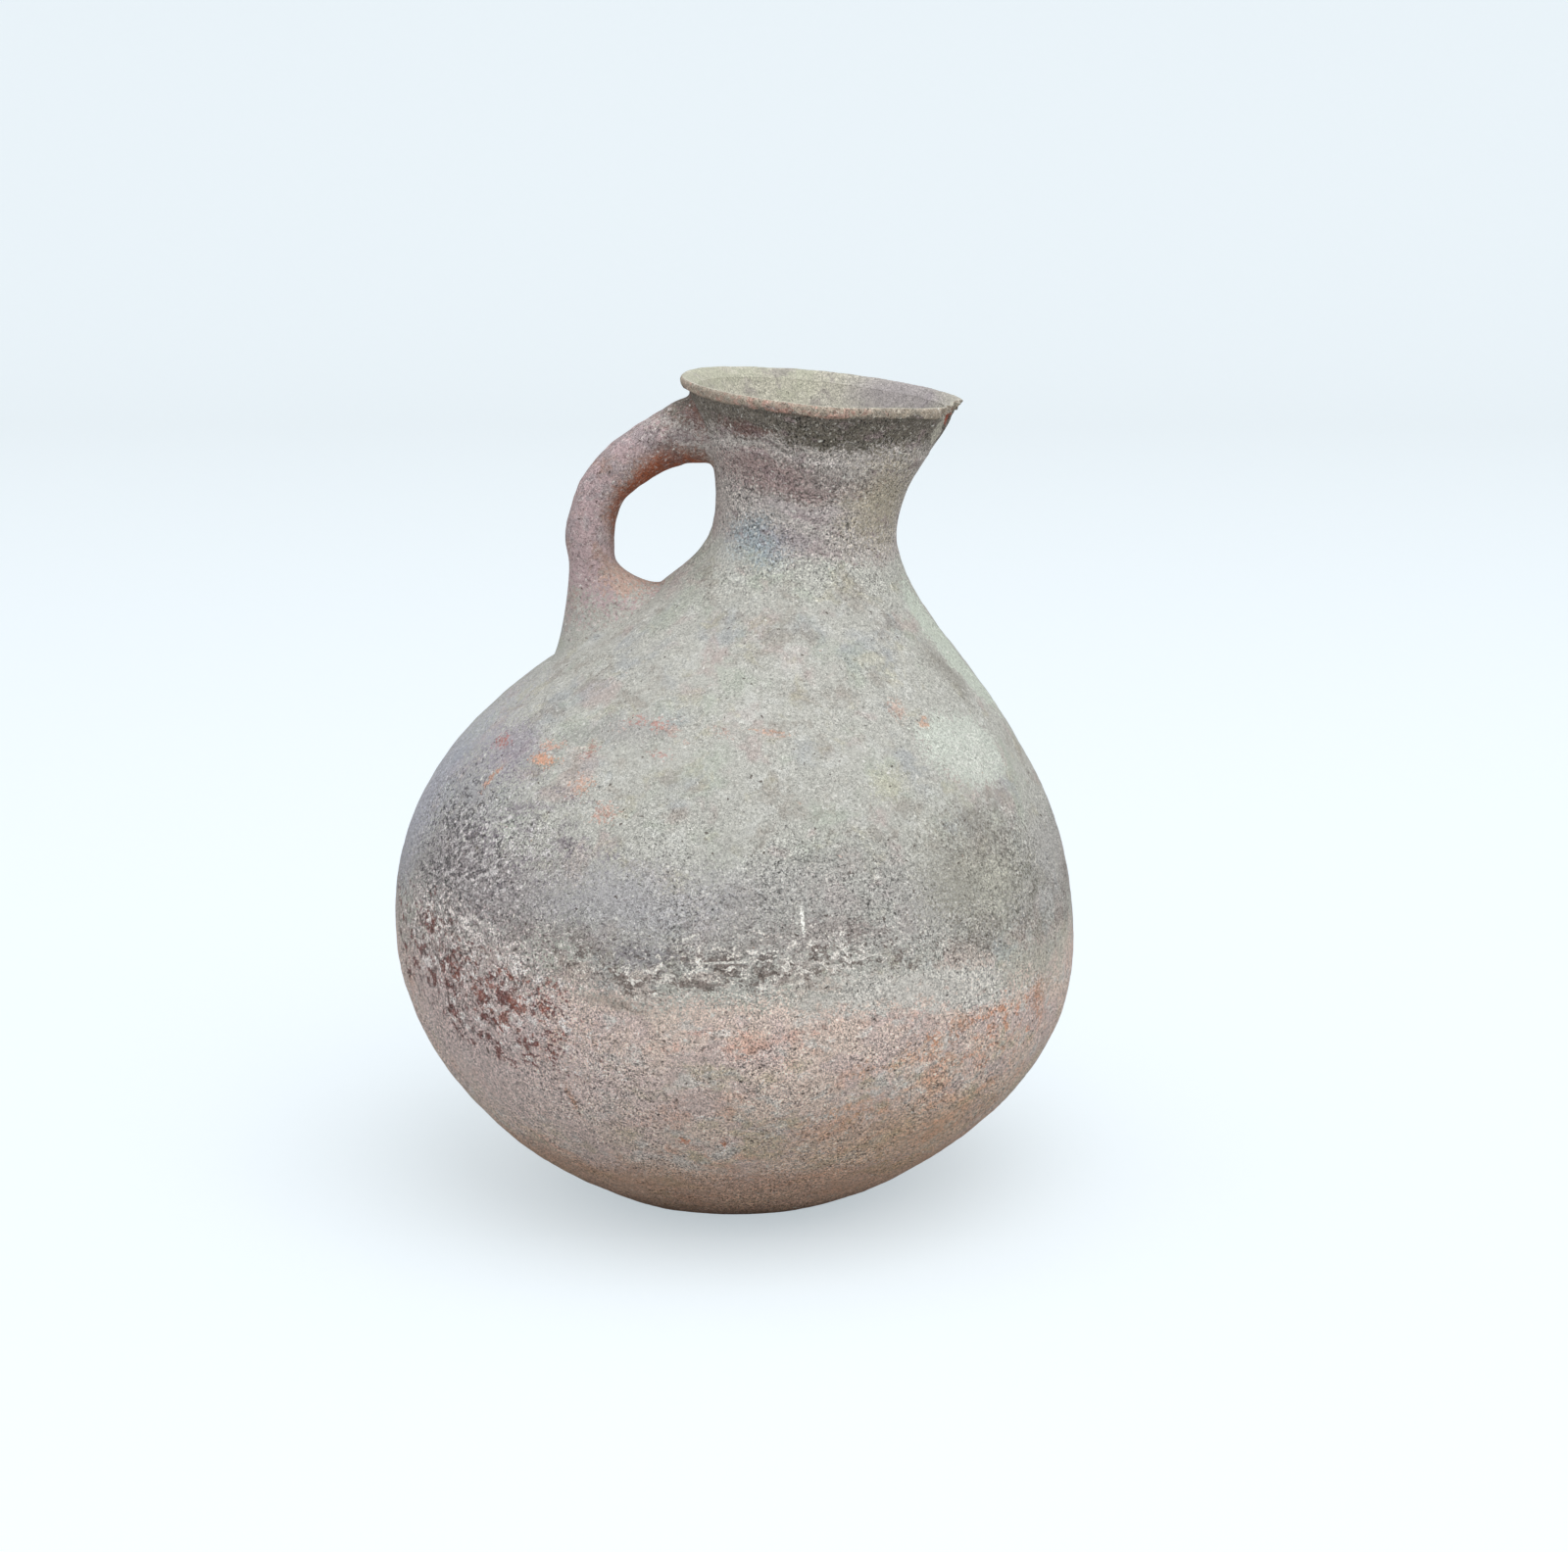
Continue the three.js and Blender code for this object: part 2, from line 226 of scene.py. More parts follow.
# Joins rings of points into one skin; the ends are closed with a fan where asked
def skinRings(rings, closed=False, fanStart=False, fanEnd=False):
    count, around = len(rings), rings[0].shape[0]
    side = np.arange(around)
    nextSide = (side + 1) % around
    faces = []
    for i in range(count if closed else count - 1):
        low, high = i * around, ((i + 1) % count) * around
        quads = np.column_stack([low + side, low + nextSide, high + nextSide, high + side])
        faces.extend(quads.tolist())
    points = [np.asarray(ring, float) for ring in rings]
    if fanStart:
        points.append(rings[0].mean(axis=0)[None])
        tip = count * around
        faces.extend(np.column_stack([side, np.full(around, tip), nextSide]).tolist())
    if fanEnd:
        points.append(rings[-1].mean(axis=0)[None])
        tip = count * around + (1 if fanStart else 0)
        last = (count - 1) * around
        faces.extend(np.column_stack([last + nextSide, np.full(around, tip), last + side]).tolist())
    return np.vstack(points), faces


def makePiece(name, points, faces, normals, replaced, innerFaces=None):
    data = bpy.data.meshes.new(name)
    data.from_pydata((points * mm).tolist(), [], faces)
    data.shade_smooth()
    if normals is not None:
        data.normals_split_custom_set_from_vertices(normals.tolist())
    if innerFaces is not None:
        inside = np.isin(np.arange(len(data.polygons)), innerFaces)
        data.polygons.foreach_set("material_index", inside.astype(np.int32))
    piece = bpy.data.objects.new(name, data)
    bpy.context.collection.objects.link(piece)
    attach(piece, "root")
    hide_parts(*replaced)
    return piece


def courseRows(lowHeight, highHeight):
    low, high = travelAt(lowHeight), travelAt(highHeight)
    outerRows = np.linspace(low, high, max(4, round((high - low) / mesh["rowSpacing"])) + 1)
    top = high if highHeight == wall["mouthHeight"] else high + mesh["scarf"]
    bottom = low + mesh["scarf"]
    innerRows = np.linspace(top, bottom, max(3, round((top - bottom) / mesh["insideRows"])) + 1)
    return outerRows, innerRows


def makeCourse(name):
    lowHeight, highHeight = courses[name]
    outerRows, innerRows = courseRows(lowHeight, highHeight)
    rows = [(outerPoint, row) for row in outerRows] + [(innerPoint, row) for row in innerRows]
    rings = [ringAt(pointAt, row) for pointAt, row in rows]
    normals = [normalsAt(pointAt, row) for pointAt, row in rows]
    points, faces = skinRings(rings, closed=True)
    print("course", name, len(faces), "faces")
    innerFaces = range((len(outerRows) - 1) * len(angles), len(faces))
    return makePiece(name + "_clay", points, faces, np.vstack(normals), [name], innerFaces)


# Rings under the jug and on its floor, as shares of the base's radius
disc = {
    "under": (0.15, 0.35, 0.55, 0.75, 0.9, 0.97), "floor": (1.0, 0.8, 0.55, 0.3, 0.1),
    "edgeRows": 9, "floorLump": 0.5, "floorWave": 26,
}


def makeBase():
    top = travelAt(courses["base_disc"][1])
    rings = [flatRing(wall["baseRadius"] * share) for share in disc["under"]]
    down = np.tile([0.0, 0.0, -1.0], (len(angles), 1))
    normals = [down] * len(rings)
    for row in np.linspace(0, top, disc["edgeRows"]):
        rings.append(ringAt(outerPoint, row))
        normals.append(normalsAt(outerPoint, max(row, 0.5)))
    rings.append(ringAt(innerPoint, top + mesh["scarf"]))
    normals.append(normalsAt(innerPoint, top + mesh["scarf"]))
    for share in disc["floor"]:
        ring = flatRing(wall["baseRadius"] * share)
        ring[:, 2] = wall["floorThickness"] + disc["floorLump"] * lumps(ring, disc["floorWave"], 31)
        rings.append(ring)
        normals.append(-down)
    points, faces = skinRings(rings, fanStart=True, fanEnd=True)
    normals = np.vstack([*normals, [[0, 0, -1]], [[0, 0, 1]]])
    return makePiece("base_disc_clay", points, faces, normals, ["base_disc"])


pieces = {"base_disc": makeBase()}
for courseName, courseSlot in [
        ("heel_course", "red_clay"), ("lower_bowl", "red_clay"), ("belly_course", "smoked_clay"),
        ("shoulder_course", "smoked_clay"), ("crown_course", "buff_clay"),
        ("neck_ring", "smoked_clay"), ("mouth_flare", "smoked_clay")]:
    pieces[courseName] = makeCourse(courseName)


# Chip knocked off the front of the spout, as a rough flat break that runs out below
chip = {
    "height": 8.5, "width": 22, "depth": 4.2, "angle": -15, "drop": 1, "outside": 1.6,
    "roughness": 0.16, "roughWave": 7, "gritWave": 2.6,
}


def chipAway(points):
    angle = math.radians(chip["angle"])
    radius, height = profileAt(wholeTravel - chip["drop"], -rim["overhang"])
    centre = lean(radius * math.cos(angle), radius * math.sin(angle), height)
    tip = math.radians(wall["lipSlope"] + leaning["lean"])
    out = np.array([math.cos(tip) * math.cos(angle), math.cos(tip) * math.sin(angle), -math.sin(tip)])
    across = np.array([-math.sin(angle), math.cos(angle), 0])
    up = np.cross(out, across)
    local = (points - centre) @ np.stack([out, across, up], 1)
    size = 1 + chip["roughness"] * lumps(points, chip["roughWave"], 41)
    size = size + 0.5 * chip["roughness"] * lumps(points, chip["gritWave"], 42)
    fall = np.clip(-local[:, 2] / chip["height"], 0, 1)
    reach = chip["depth"] * size * np.sqrt(1 - fall ** 2)
    inside = (fall < 1) & (np.abs(local[:, 1]) < chip["width"])
    inside = inside & (local[:, 0] < chip["depth"] * chip["outside"])
    lifted = np.where(inside, np.minimum(local[:, 0], -reach), local[:, 0])
    return points + np.outer(lifted - local[:, 0], out)


# Strip rolled over the lip, as depth into the wall and rise past its end
rim = {
    "overhang": 2.4, "height": 5.6, "sectionSteps": 5, "crestCorner": 5,
    "bulge": 0.14, "bulgeWave": 46, "pinch": 0.05, "pinchWave": 13,
    "unevenness": 0.35, "unevenWave": 70, "nick": 0.072, "nickWave": 9, "grain": 0.04, "grainWave": 2.4,
}


# Up the inside to the crest, down the outer face, and back under it along the end of the wall
def rimSection():
    proud, top, thick = -rim["overhang"], rim["height"], wall["lipWall"]
    return np.array([
        (thick, -0.05), (thick * 0.88, top * 0.2), (thick * 0.66, top * 0.45), (thick * 0.34, top * 0.74),
        (thick * 0.02, top * 0.93), (proud * 0.42, top), (proud * 0.85, top * 0.88), (proud, top * 0.64),
        (proud * 0.98, top * 0.40), (proud * 0.7, 1.55), (0.05, 1.1), (0.02, 0.3), (0.5, -0.3),
        (thick * 0.5, -0.3)])


def closedCurve(corners, steps):  # Catmull-Rom through the corners
    t = np.linspace(0, 1, steps, endpoint=False)[:, None]
    runs = []
    for i in range(len(corners)):
        a, b, c, d = (corners[(i + k) % len(corners)] for k in (-1, 0, 1, 2))
        runs.append(0.5 * (2 * b + (c - a) * t + (2 * a - 5 * b + 4 * c - d) * t ** 2
                           + (3 * b - a - 3 * c + d) * t ** 3))
    return np.vstack(runs)


def makeRim():
    section = closedCurve(rimSection(), rim["sectionSteps"])
    end = np.array(profileAt(wholeTravel, 0))
    inward = np.array([-outsideSlope[-1][1], outsideSlope[-1][0]])
    up = np.array([inward[1], -inward[0]])
    rings = []
    for depth, rise in section:
        around = lean(end[0] * np.cos(angles), end[0] * np.sin(angles), np.full_like(angles, end[1]))
        sideways = 1 + rim["bulge"] * lumps(around, rim["bulgeWave"], 51)
        sideways = sideways + rim["pinch"] * lumps(around, rim["pinchWave"], 52)
        lift = rim["unevenness"] * lumps(around, rim["unevenWave"], 53)
        lift = lift + rim["nick"] * lumps(around, rim["nickWave"], 54)
        depths = np.where(depth < 0, depth * sideways, depth)
        rises = rise + lift * smooth(rise, 1.5, rim["height"])
        radius = end[0] + inward[0] * depths + up[0] * rises
        height = end[1] + inward[1] * depths + up[1] * rises
        ring = lean(radius * np.cos(angles), radius * np.sin(angles), height)
        rings.append(ring + rim["grain"] * lumps(ring, rim["grainWave"], 55)[:, None])
    points, faces = skinRings(rings, closed=True)
    points = chipAway(points)
    innerFaces = range(rim["crestCorner"] * rim["sectionSteps"] * len(angles))
    return makePiece("rim_roll_clay", points, faces, None, ["rim_roll"], innerFaces)


pieces["rim_roll"] = makeRim()
flareData = pieces["mouth_flare"].data
flarePoints = np.array([corner.co[:] for corner in flareData.vertices]) / mm
flareData.vertices.foreach_set("co", (chipAway(flarePoints) * mm).ravel())
print("rim done")

# Loop handle of oval section, and the clay smeared from it on to the neck and the shoulder
handle = {
    "thickness": 18.8, "width": 24, "squareness": 2.3, "reach": 57.2, "elbowHeight": 264,
    "top": 304.5, "foot": 225.5, "topSlope": 20, "topPull": 28,
    "elbowPull": 24, "heelPull": 14, "footPull": 10,
    "sides": 96, "rodRows": 110, "padRows": 26, "swell": 0.22, "swellLength": 46,
    "lump": 0.35, "lumpWave": 26, "pat": 0.14, "patWave": 7,
    "knuckle": 0.21, "knuckleHeight": 268, "knuckleReach": 6,
    "pinch": 0.3, "pinchHeight": 256, "pinchReach": 5,
}
pads = {
    "handle_upper_pad": {
        "length": 13, "height": 304.5, "high": 14.5, "inner": 17.5, "wide": 15.5, "side": 1,
        "fullOutside": 1.8, "fullInside": 1.2},
    "handle_lower_pad": {
        "length": 27, "height": 225.5, "high": 19.5, "inner": 26, "wide": 19, "side": -1,
        "fullOutside": 0, "fullInside": 0.6},
}
smear = {"lead": 0.75, "spread": 17, "dip": 3.5, "bury": 1.6}


def onWall(travel, sideways, depth):
    radius, _ = profileAt(travel, 0)
    angle = np.pi - sideways / radius
    return roundPoint(travel, angle, depth - reliefAt(travel, angle))


def handleLine():
    flat = np.array([0.0])
    top = roundPoint(np.array([travelAt(handle["top"])]), flat + np.pi, 0)[0]
    foot = roundPoint(np.array([travelAt(handle["foot"])]), flat + np.pi, 0)[0]
    slope = math.radians(handle["topSlope"])
    out = np.array([-math.cos(slope), 0, -math.sin(slope)])
    up = np.array([0, 0, 1.0])
    elbow = np.array([-handle["reach"], 0, handle["elbowHeight"]])
    first = bezier(top, top + out * handle["topPull"], elbow + up * handle["elbowPull"], elbow, 300)
    second = bezier(elbow, elbow - up * handle["heelPull"], foot + up * handle["footPull"], foot, 300)
    return np.vstack([first, second[1:]])


line = handleLine()
lineTravel = np.concatenate([[0], np.cumsum(np.linalg.norm(np.diff(line, axis=0), axis=1))])
lineSlope = np.gradient(line, lineTravel, axis=0)
sideAngles = np.linspace(0, 2 * np.pi, handle["sides"], endpoint=False)


def handleRing(distance):
    middle = np.array([np.interp(distance, lineTravel, line[:, k]) for k in range(3)])
    along = unit(np.array([np.interp(distance, lineTravel, lineSlope[:, k]) for k in range(3)]))
    across = np.array([along[2], 0, -along[0]])
    c, s = np.cos(sideAngles), np.sin(sideAngles)
    power = 2 / handle["squareness"]
    swell = 1 + handle["swell"] * (1 - smooth(distance, 0, handle["swellLength"]))
    thick = handle["thickness"] / 2 * swell * np.sign(c) * np.abs(c) ** power
    wide = handle["width"] / 2 * np.sign(s) * np.abs(s) ** power
    ring = middle + np.outer(thick, across) + np.outer(wide, [0, 1, 0])
    lift = handle["lump"] * lumps(ring, handle["lumpWave"], 61)
    lift = lift + handle["pat"] * lumps(ring, handle["patWave"], 62)
    knuckle = np.exp(-((ring[:, 2] - handle["knuckleHeight"]) / handle["knuckleReach"]) ** 2)
    pinch = np.exp(-((ring[:, 2] - handle["pinchHeight"]) / handle["pinchReach"]) ** 2)
    lift = lift + np.clip(c, 0, 1) * (handle["knuckle"] * knuckle - handle["pinch"] * pinch)
    return ring + unit(ring - middle) * lift[:, None], along


def padRings(pad):
    distance = pad["length"] if pad["side"] > 0 else lineTravel[-1] - pad["length"]
    corners, along = handleRing(distance)
    towardsWall = -pad["side"] * along * smear["lead"] * pad["length"]
    centre = travelAt(pad["height"])
    c, s = np.cos(sideAngles), np.sin(sideAngles)

    def landed(grow, depth):
        high = pad["high"] + (pad["inner"] - pad["high"]) * (1 - c) / 2
        travel = np.minimum(centre + pad["side"] * (high + grow) * c, wholeTravel - 0.5)
        return onWall(travel, (pad["wide"] + grow) * s, depth)

    landing = landed(0, 0)
    outward = unit(landing - landed(-1, 0))
    inward = landed(0, 1) - landing
    arriving = smear["spread"] * outward + smear["dip"] * inward
    full = pad["fullOutside"] * np.clip(c, 0, 1) ** 2 - pad["fullInside"] * np.clip(-c, 0, 1) ** 2
    fullness = np.outer(full, [along[2], 0, -along[0]])
    rings = []
    for t in np.linspace(0, 1, handle["padRows"] + 1)[1:]:
        rings.append((2 * t ** 3 - 3 * t ** 2 + 1) * corners + (t ** 3 - 2 * t ** 2 + t) * towardsWall
                     + (3 * t ** 2 - 2 * t ** 3) * landing + (t ** 3 - t ** 2) * arriving
                     + math.sin(math.pi * t) ** 2 * fullness)
    rings.append(landed(0.8, smear["bury"]))
    return rings, distance


def makeHandle():
    upper, rodStart = padRings(pads["handle_upper_pad"])
    lower, rodEnd = padRings(pads["handle_lower_pad"])
    rod = [handleRing(distance)[0] for distance in np.linspace(rodStart, rodEnd, handle["rodRows"])]
    rings = upper[::-1] + rod + lower
    grid = np.array(rings)
    alongLine = np.gradient(grid, axis=0)
    alongSide = np.roll(grid, -1, axis=1) - np.roll(grid, 1, axis=1)
    normals = np.cross(alongSide, alongLine)
    normals /= np.maximum(np.linalg.norm(normals, axis=2), 1e-9)[..., None]
    first, last = len(upper), len(upper) + len(rod) - 1
    middles = grid.mean(axis=1)
    for name, low, high in (
            ("handle_upper_pad", 0, first), ("handle_rod", first, last),
            ("handle_lower_pad", last, len(rings) - 1)):
        points, faces = skinRings(rings[low:high + 1], fanStart=True, fanEnd=True)
        ends = unit(np.array([middles[low] - middles[low + 1], middles[high] - middles[high - 1]]))
        pieceNormals = np.vstack([normals[low:high + 1].reshape(-1, 3), ends])
        pieces[name] = makePiece(name + "_clay", points, faces, pieceNormals, [name])


makeHandle()
print("handle done")

# The photograph's view, measured on its 1600 by 1584 pixels
view = {"focal": 3000, "width": 1600, "horizonRow": 138, "middleRow": 792, "middleColumn": 800,
        "baseColumn": 752.7, "baseRow": 1195.6, "pixelsPerMm": 2.46}


def makeCamera():
    pitch = math.atan((view["middleRow"] - view["horizonRow"]) / view["focal"])
    away = view["focal"] / view["pixelsPerMm"]
    right = (view["baseColumn"] - view["middleColumn"]) / view["focal"] * away
    down = (view["baseRow"] - view["middleRow"]) / view["focal"] * away
    place = Vector((-right, down * math.sin(pitch) - away * math.cos(pitch),
                    down * math.cos(pitch) + away * math.sin(pitch)))
    data = bpy.data.cameras.new("photo_view")
    data.sensor_width = 36
    data.lens = data.sensor_width * view["focal"] / view["width"]
    data.clip_end = 50
    camera = bpy.data.objects.new("photo_view", data)
    camera.location = place * mm
    camera.rotation_euler = (math.pi / 2 - pitch, 0, 0)
    bpy.context.collection.objects.link(camera)
    bpy.context.scene.camera = camera


makeCamera()
print("camera done")

# Pale floor that curves up into a backdrop, in metres
studio = {"front": -3.0, "bend": 3.2, "bendRadius": 1.6, "top": 4.0, "halfWidth": 6.0}


def makeStage():
    profile = [(studio["front"], 0.0), (studio["bend"], 0.0)]
    for step in range(1, 13):
        turn = step / 12 * math.pi / 2
        profile.append((studio["bend"] + studio["bendRadius"] * math.sin(turn),
                        studio["bendRadius"] * (1 - math.cos(turn))))
    profile.append((studio["bend"] + studio["bendRadius"], studio["top"]))
    points = [(x, y, z) for y, z in profile for x in (-studio["halfWidth"], studio["halfWidth"])]
    faces = [(2 * i, 2 * i + 1, 2 * i + 3, 2 * i + 2) for i in range(len(profile) - 1)]
    data = bpy.data.meshes.new("studio_floor")
    data.from_pydata(points, [], faces)
    data.shade_smooth()
    stage = bpy.data.objects.new("studio_floor", data)
    bpy.context.collection.objects.link(stage)
    return stage


stage = makeStage()


# Small helpers for building node trees
def feed(tree, socket, value):
    if isinstance(value, bpy.types.NodeSocket):
        tree.links.new(value, socket)
    else:
        socket.default_value = value


def put(tree, kind, inputs=None, **settings):
    node = tree.nodes.new("ShaderNode" + kind)
    for setting, value in settings.items():
        setattr(node, setting, value)
    for socket, value in (inputs or {}).items():
        feed(tree, node.inputs[socket], value)
    return node


def maths(tree, operation, *values):
    return put(tree, "Math", dict(enumerate(values)), operation=operation).outputs[0]


def vectors(tree, operation, *values):
    return put(tree, "VectorMath", dict(enumerate(values)), operation=operation).outputs[0]


def scaled(tree, vector, factor):
    return put(tree, "VectorMath", {0: vector, "Scale": factor}, operation="SCALE").outputs[0]


def ramp(tree, value, low, high):
    limits = {"Value": value, "From Min": low, "From Max": high}
    return put(tree, "MapRange", limits, interpolation_type="SMOOTHSTEP").outputs[0]


def blend(tree, factor, first, second):
    node = put(tree, "Mix", data_type="RGBA")
    for socket, value in (("Factor", factor), ("A", first), ("B", second)):
        feed(tree, node.inputs[socket], value)
    return node.outputs["Result"]


def makeGroup(name, inputs, outputs):
    tree = bpy.data.node_groups.new(name, "ShaderNodeTree")
    for label, kind, value in inputs:
        socket = tree.interface.new_socket(label, in_out="INPUT", socket_type="NodeSocket" + kind)
        if value is not None:
            socket.default_value = value
    for label, kind in outputs:
        tree.interface.new_socket(label, in_out="OUTPUT", socket_type="NodeSocket" + kind)
    return tree, tree.nodes.new("NodeGroupInput").outputs, tree.nodes.new("NodeGroupOutput").inputs


def useGroup(tree, group, inputs):
    node = tree.nodes.new("ShaderNodeGroup")
    node.node_tree = group
    for label, value in inputs.items():
        feed(tree, node.inputs[label], value)
    return node.outputs


# Colours are written as the fired clay looks in plain light
def shade(code):
    parts = [int(code[i:i + 2], 16) / 255 for i in (1, 3, 5)]
    return (*[c / 12.92 if c <= 0.04045 else ((c + 0.055) / 1.055) ** 2.4 for c in parts], 1)


# Shared effects, in millimetres. Wander shifts a place a little, so that edges turn ragged
def makeWander():
    tree, given, result = makeGroup(
        "wander", [("Place", "Vector", None), ("Reach", "Float", 2), ("Wavelength", "Float", 12)],
        [("Place", "Vector")])
    pace = maths(tree, "DIVIDE", 1, given["Wavelength"])
    noise = put(tree, "TexNoise", {"Vector": given["Place"], "Scale": pace, "Detail": 3, "Roughness": 0.6})
    stray = vectors(tree, "SUBTRACT", noise.outputs["Color"], (0.5, 0.5, 0.5))
    stray = scaled(tree, stray, maths(tree, "MULTIPLY", given["Reach"], 4))
    feed(tree, result["Place"], vectors(tree, "ADD", given["Place"], stray))
    return tree


# One oval patch on the wall, whose edge fades and breaks up in the grit of the clay
def makeStainMask():
    tree, given, result = makeGroup(
        "stainMask", [("Place", "Vector", None), ("Centre", "Vector", None), ("Turn", "Vector", None),
                      ("Size", "Vector", None), ("Softness", "Float", 0.5), ("Grit", "Float", 0.5),
                      ("Raggedness", "Float", 0.5)],
        [("Mask", "Float")])
    local = put(tree, "Mapping", {
        "Vector": given["Place"], "Location": given["Centre"], "Rotation": given["Turn"],
        "Scale": given["Size"]}, vector_type="TEXTURE")
    # The sphere is 1 in the middle and 0 at twice the size of the patch
    sphere = put(tree, "TexGradient", {"Vector": local.outputs[0]}, gradient_type="SPHERICAL")
    fade = maths(tree, "MULTIPLY_ADD", sphere.outputs["Fac"], 2, -1)
    fade = maths(tree, "DIVIDE", fade, given["Softness"])
    worn = maths(tree, "MULTIPLY", maths(tree, "SUBTRACT", given["Grit"], 0.5), given["Raggedness"])
    feed(tree, result["Mask"], ramp(tree, maths(tree, "ADD", fade, worn), 0, 1))
    return tree


# Flecks whose number grows with coverage, drawn out along one direction by the stretch
def makeFlecks():
    tree, given, result = makeGroup(
        "flecks", [("Place", "Vector", None), ("Turn", "Vector", None), ("Shift", "Float", 0),
                   ("Stretch", "Float", 1), ("Size", "Float", 2), ("Coverage", "Float", 0.5),
                   ("Detail", "Float", 2.5), ("Edge", "Float", 0.05)],
        [("Mask", "Float")])
    pace = maths(tree, "DIVIDE", 1, given["Size"])
    stretch = put(tree, "CombineXYZ", {"X": given["Stretch"], "Y": 1, "Z": 1}).outputs[0]
    turned = put(tree, "Mapping", {"Vector": given["Place"], "Location": given["Shift"],
                                   "Rotation": given["Turn"], "Scale": stretch}, vector_type="TEXTURE")
    noise = put(tree, "TexNoise", {"Vector": turned.outputs[0], "Scale": pace, "Detail": given["Detail"],
                                   "Roughness": 0.65})
    threshold = 0.82
    level = maths(tree, "MULTIPLY_ADD", given["Coverage"], 0.5, noise.outputs["Fac"])
    full = maths(tree, "ADD", given["Edge"], threshold)
    feed(tree, result["Mask"], ramp(tree, level, threshold, full))
    return tree


# Salt and pepper grain of the clay body, stronger in some places, as a brightness near 1 and a height
def makeGrain():
    tree, given, result = makeGroup(
        "grain", [("Place", "Vector", None), ("Size", "Float", 1), ("Contrast", "Float", 0.3)],
        [("Brightness", "Float"), ("Height", "Float")])
    pace = maths(tree, "DIVIDE", 1, given["Size"])
    fine = put(tree, "TexNoise", {"Vector": given["Place"], "Scale": pace, "Detail": 1.5, "Roughness": 0.7,
                                  "Distortion": 1.2})
    wide = put(tree, "TexNoise", {"Vector": given["Place"], "Scale": maths(tree, "MULTIPLY", pace, 0.3),
                                  "Detail": 2, "Roughness": 0.7})
    calm = put(tree, "TexNoise", {"Vector": given["Place"], "Scale": maths(tree, "MULTIPLY", pace, 0.03),
                                  "Detail": 2, "Roughness": 0.6})
    total = maths(tree, "MULTIPLY_ADD", fine.outputs["Fac"], 2.4, -1.2)
    total = maths(tree, "ADD", total, maths(tree, "MULTIPLY_ADD", wide.outputs["Fac"], 0.5, -0.25))
    total = maths(tree, "MULTIPLY", total, maths(tree, "MULTIPLY_ADD", calm.outputs["Fac"], 2.0, 0.1))
    feed(tree, result["Brightness"], maths(tree, "MULTIPLY_ADD", total, given["Contrast"], 1))
    feed(tree, result["Height"], total)
    return tree


# Round spots scattered in the clay, such as pits where grit burnt out, or specks of lime
def makeSpots():
    tree, given, result = makeGroup(
        "spots", [("Place", "Vector", None), ("Spacing", "Float", 6), ("Radius", "Float", 0.7),
                  ("Share", "Float", 0.5)],
        [("Mask", "Float")])
    pace = maths(tree, "DIVIDE", 1, given["Spacing"])
    cells = put(tree, "TexVoronoi", {"Vector": given["Place"], "Scale": pace})
    chance = put(tree, "SeparateColor", {"Color": cells.outputs["Color"]})
    radius = maths(tree, "MULTIPLY", given["Radius"], maths(tree, "ADD", chance.outputs[0], 0.5))
    away = maths(tree, "MULTIPLY", cells.outputs["Distance"], given["Spacing"])
    away = maths(tree, "DIVIDE", away, radius)
    inside = maths(tree, "SUBTRACT", 1, ramp(tree, away, 0.55, 1))
    kept = maths(tree, "LESS_THAN", chance.outputs[1], given["Share"])
    feed(tree, result["Mask"], maths(tree, "MULTIPLY", inside, kept))
    return tree


# Broad clouds of a second colour
def makeClouds():
    tree, given, result = makeGroup(
        "clouds", [("Colour", "Color", None), ("Tone", "Color", None), ("Place", "Vector", None),
                   ("Shift", "Vector", None), ("Wavelength", "Float", 30), ("Start", "Float", 0.5),
                   ("Edge", "Float", 0.1), ("Amount", "Float", 0.3)],
        [("Colour", "Color")])
    pace = maths(tree, "DIVIDE", 1, given["Wavelength"])
    moved = put(tree, "Mapping", {"Vector": given["Place"], "Location": given["Shift"]}).outputs[0]
    noise = put(tree, "TexNoise", {"Vector": moved, "Scale": pace, "Detail": 5, "Roughness": 0.62})
    full = maths(tree, "ADD", given["Start"], given["Edge"])
    share = ramp(tree, noise.outputs["Fac"], given["Start"], full)
    share = maths(tree, "MULTIPLY", share, given["Amount"])
    feed(tree, result["Colour"], blend(tree, share, given["Colour"], given["Tone"]))
    return tree


groups = {
    "wander": makeWander(), "stainMask": makeStainMask(), "flecks": makeFlecks(),
    "grain": makeGrain(), "spots": makeSpots(), "clouds": makeClouds(),
}
print("shader groups ready")

stainMargin = 8  # how far past its edge a stain may still stray


# A patch on the outside of the wall: degrees round from the front towards the spout, height of the
# straight jug, width and height across the patch, and how strongly it colours the clay
def patch(around, height, wide, high, tone, strength, soft=0.7, turn=0, ragged=1.0):
    travel, angle = np.array([travelAt(height)]), np.array([math.radians(around) - math.pi / 2])
    centre = roundPoint(travel, angle, 0)[0]
    across = roundPoint(travel, angle + 0.01, 0)[0] - roundPoint(travel, angle - 0.01, 0)[0]
    upward = roundPoint(travel + 0.5, angle, 0)[0] - roundPoint(travel - 0.5, angle, 0)[0]
    across, upward = Vector(across).normalized(), Vector(upward).normalized()
    out = across.cross(upward)
    size = (wide / 2, high / 2, 0.6 * max(wide, high) + 4)
    reach = high / 2 + abs(math.sin(math.radians(turn))) * wide / 2 + stainMargin
    return oval(centre, (across, upward, out), size, tone, strength, soft, turn, ragged,
                height - reach, height + reach)


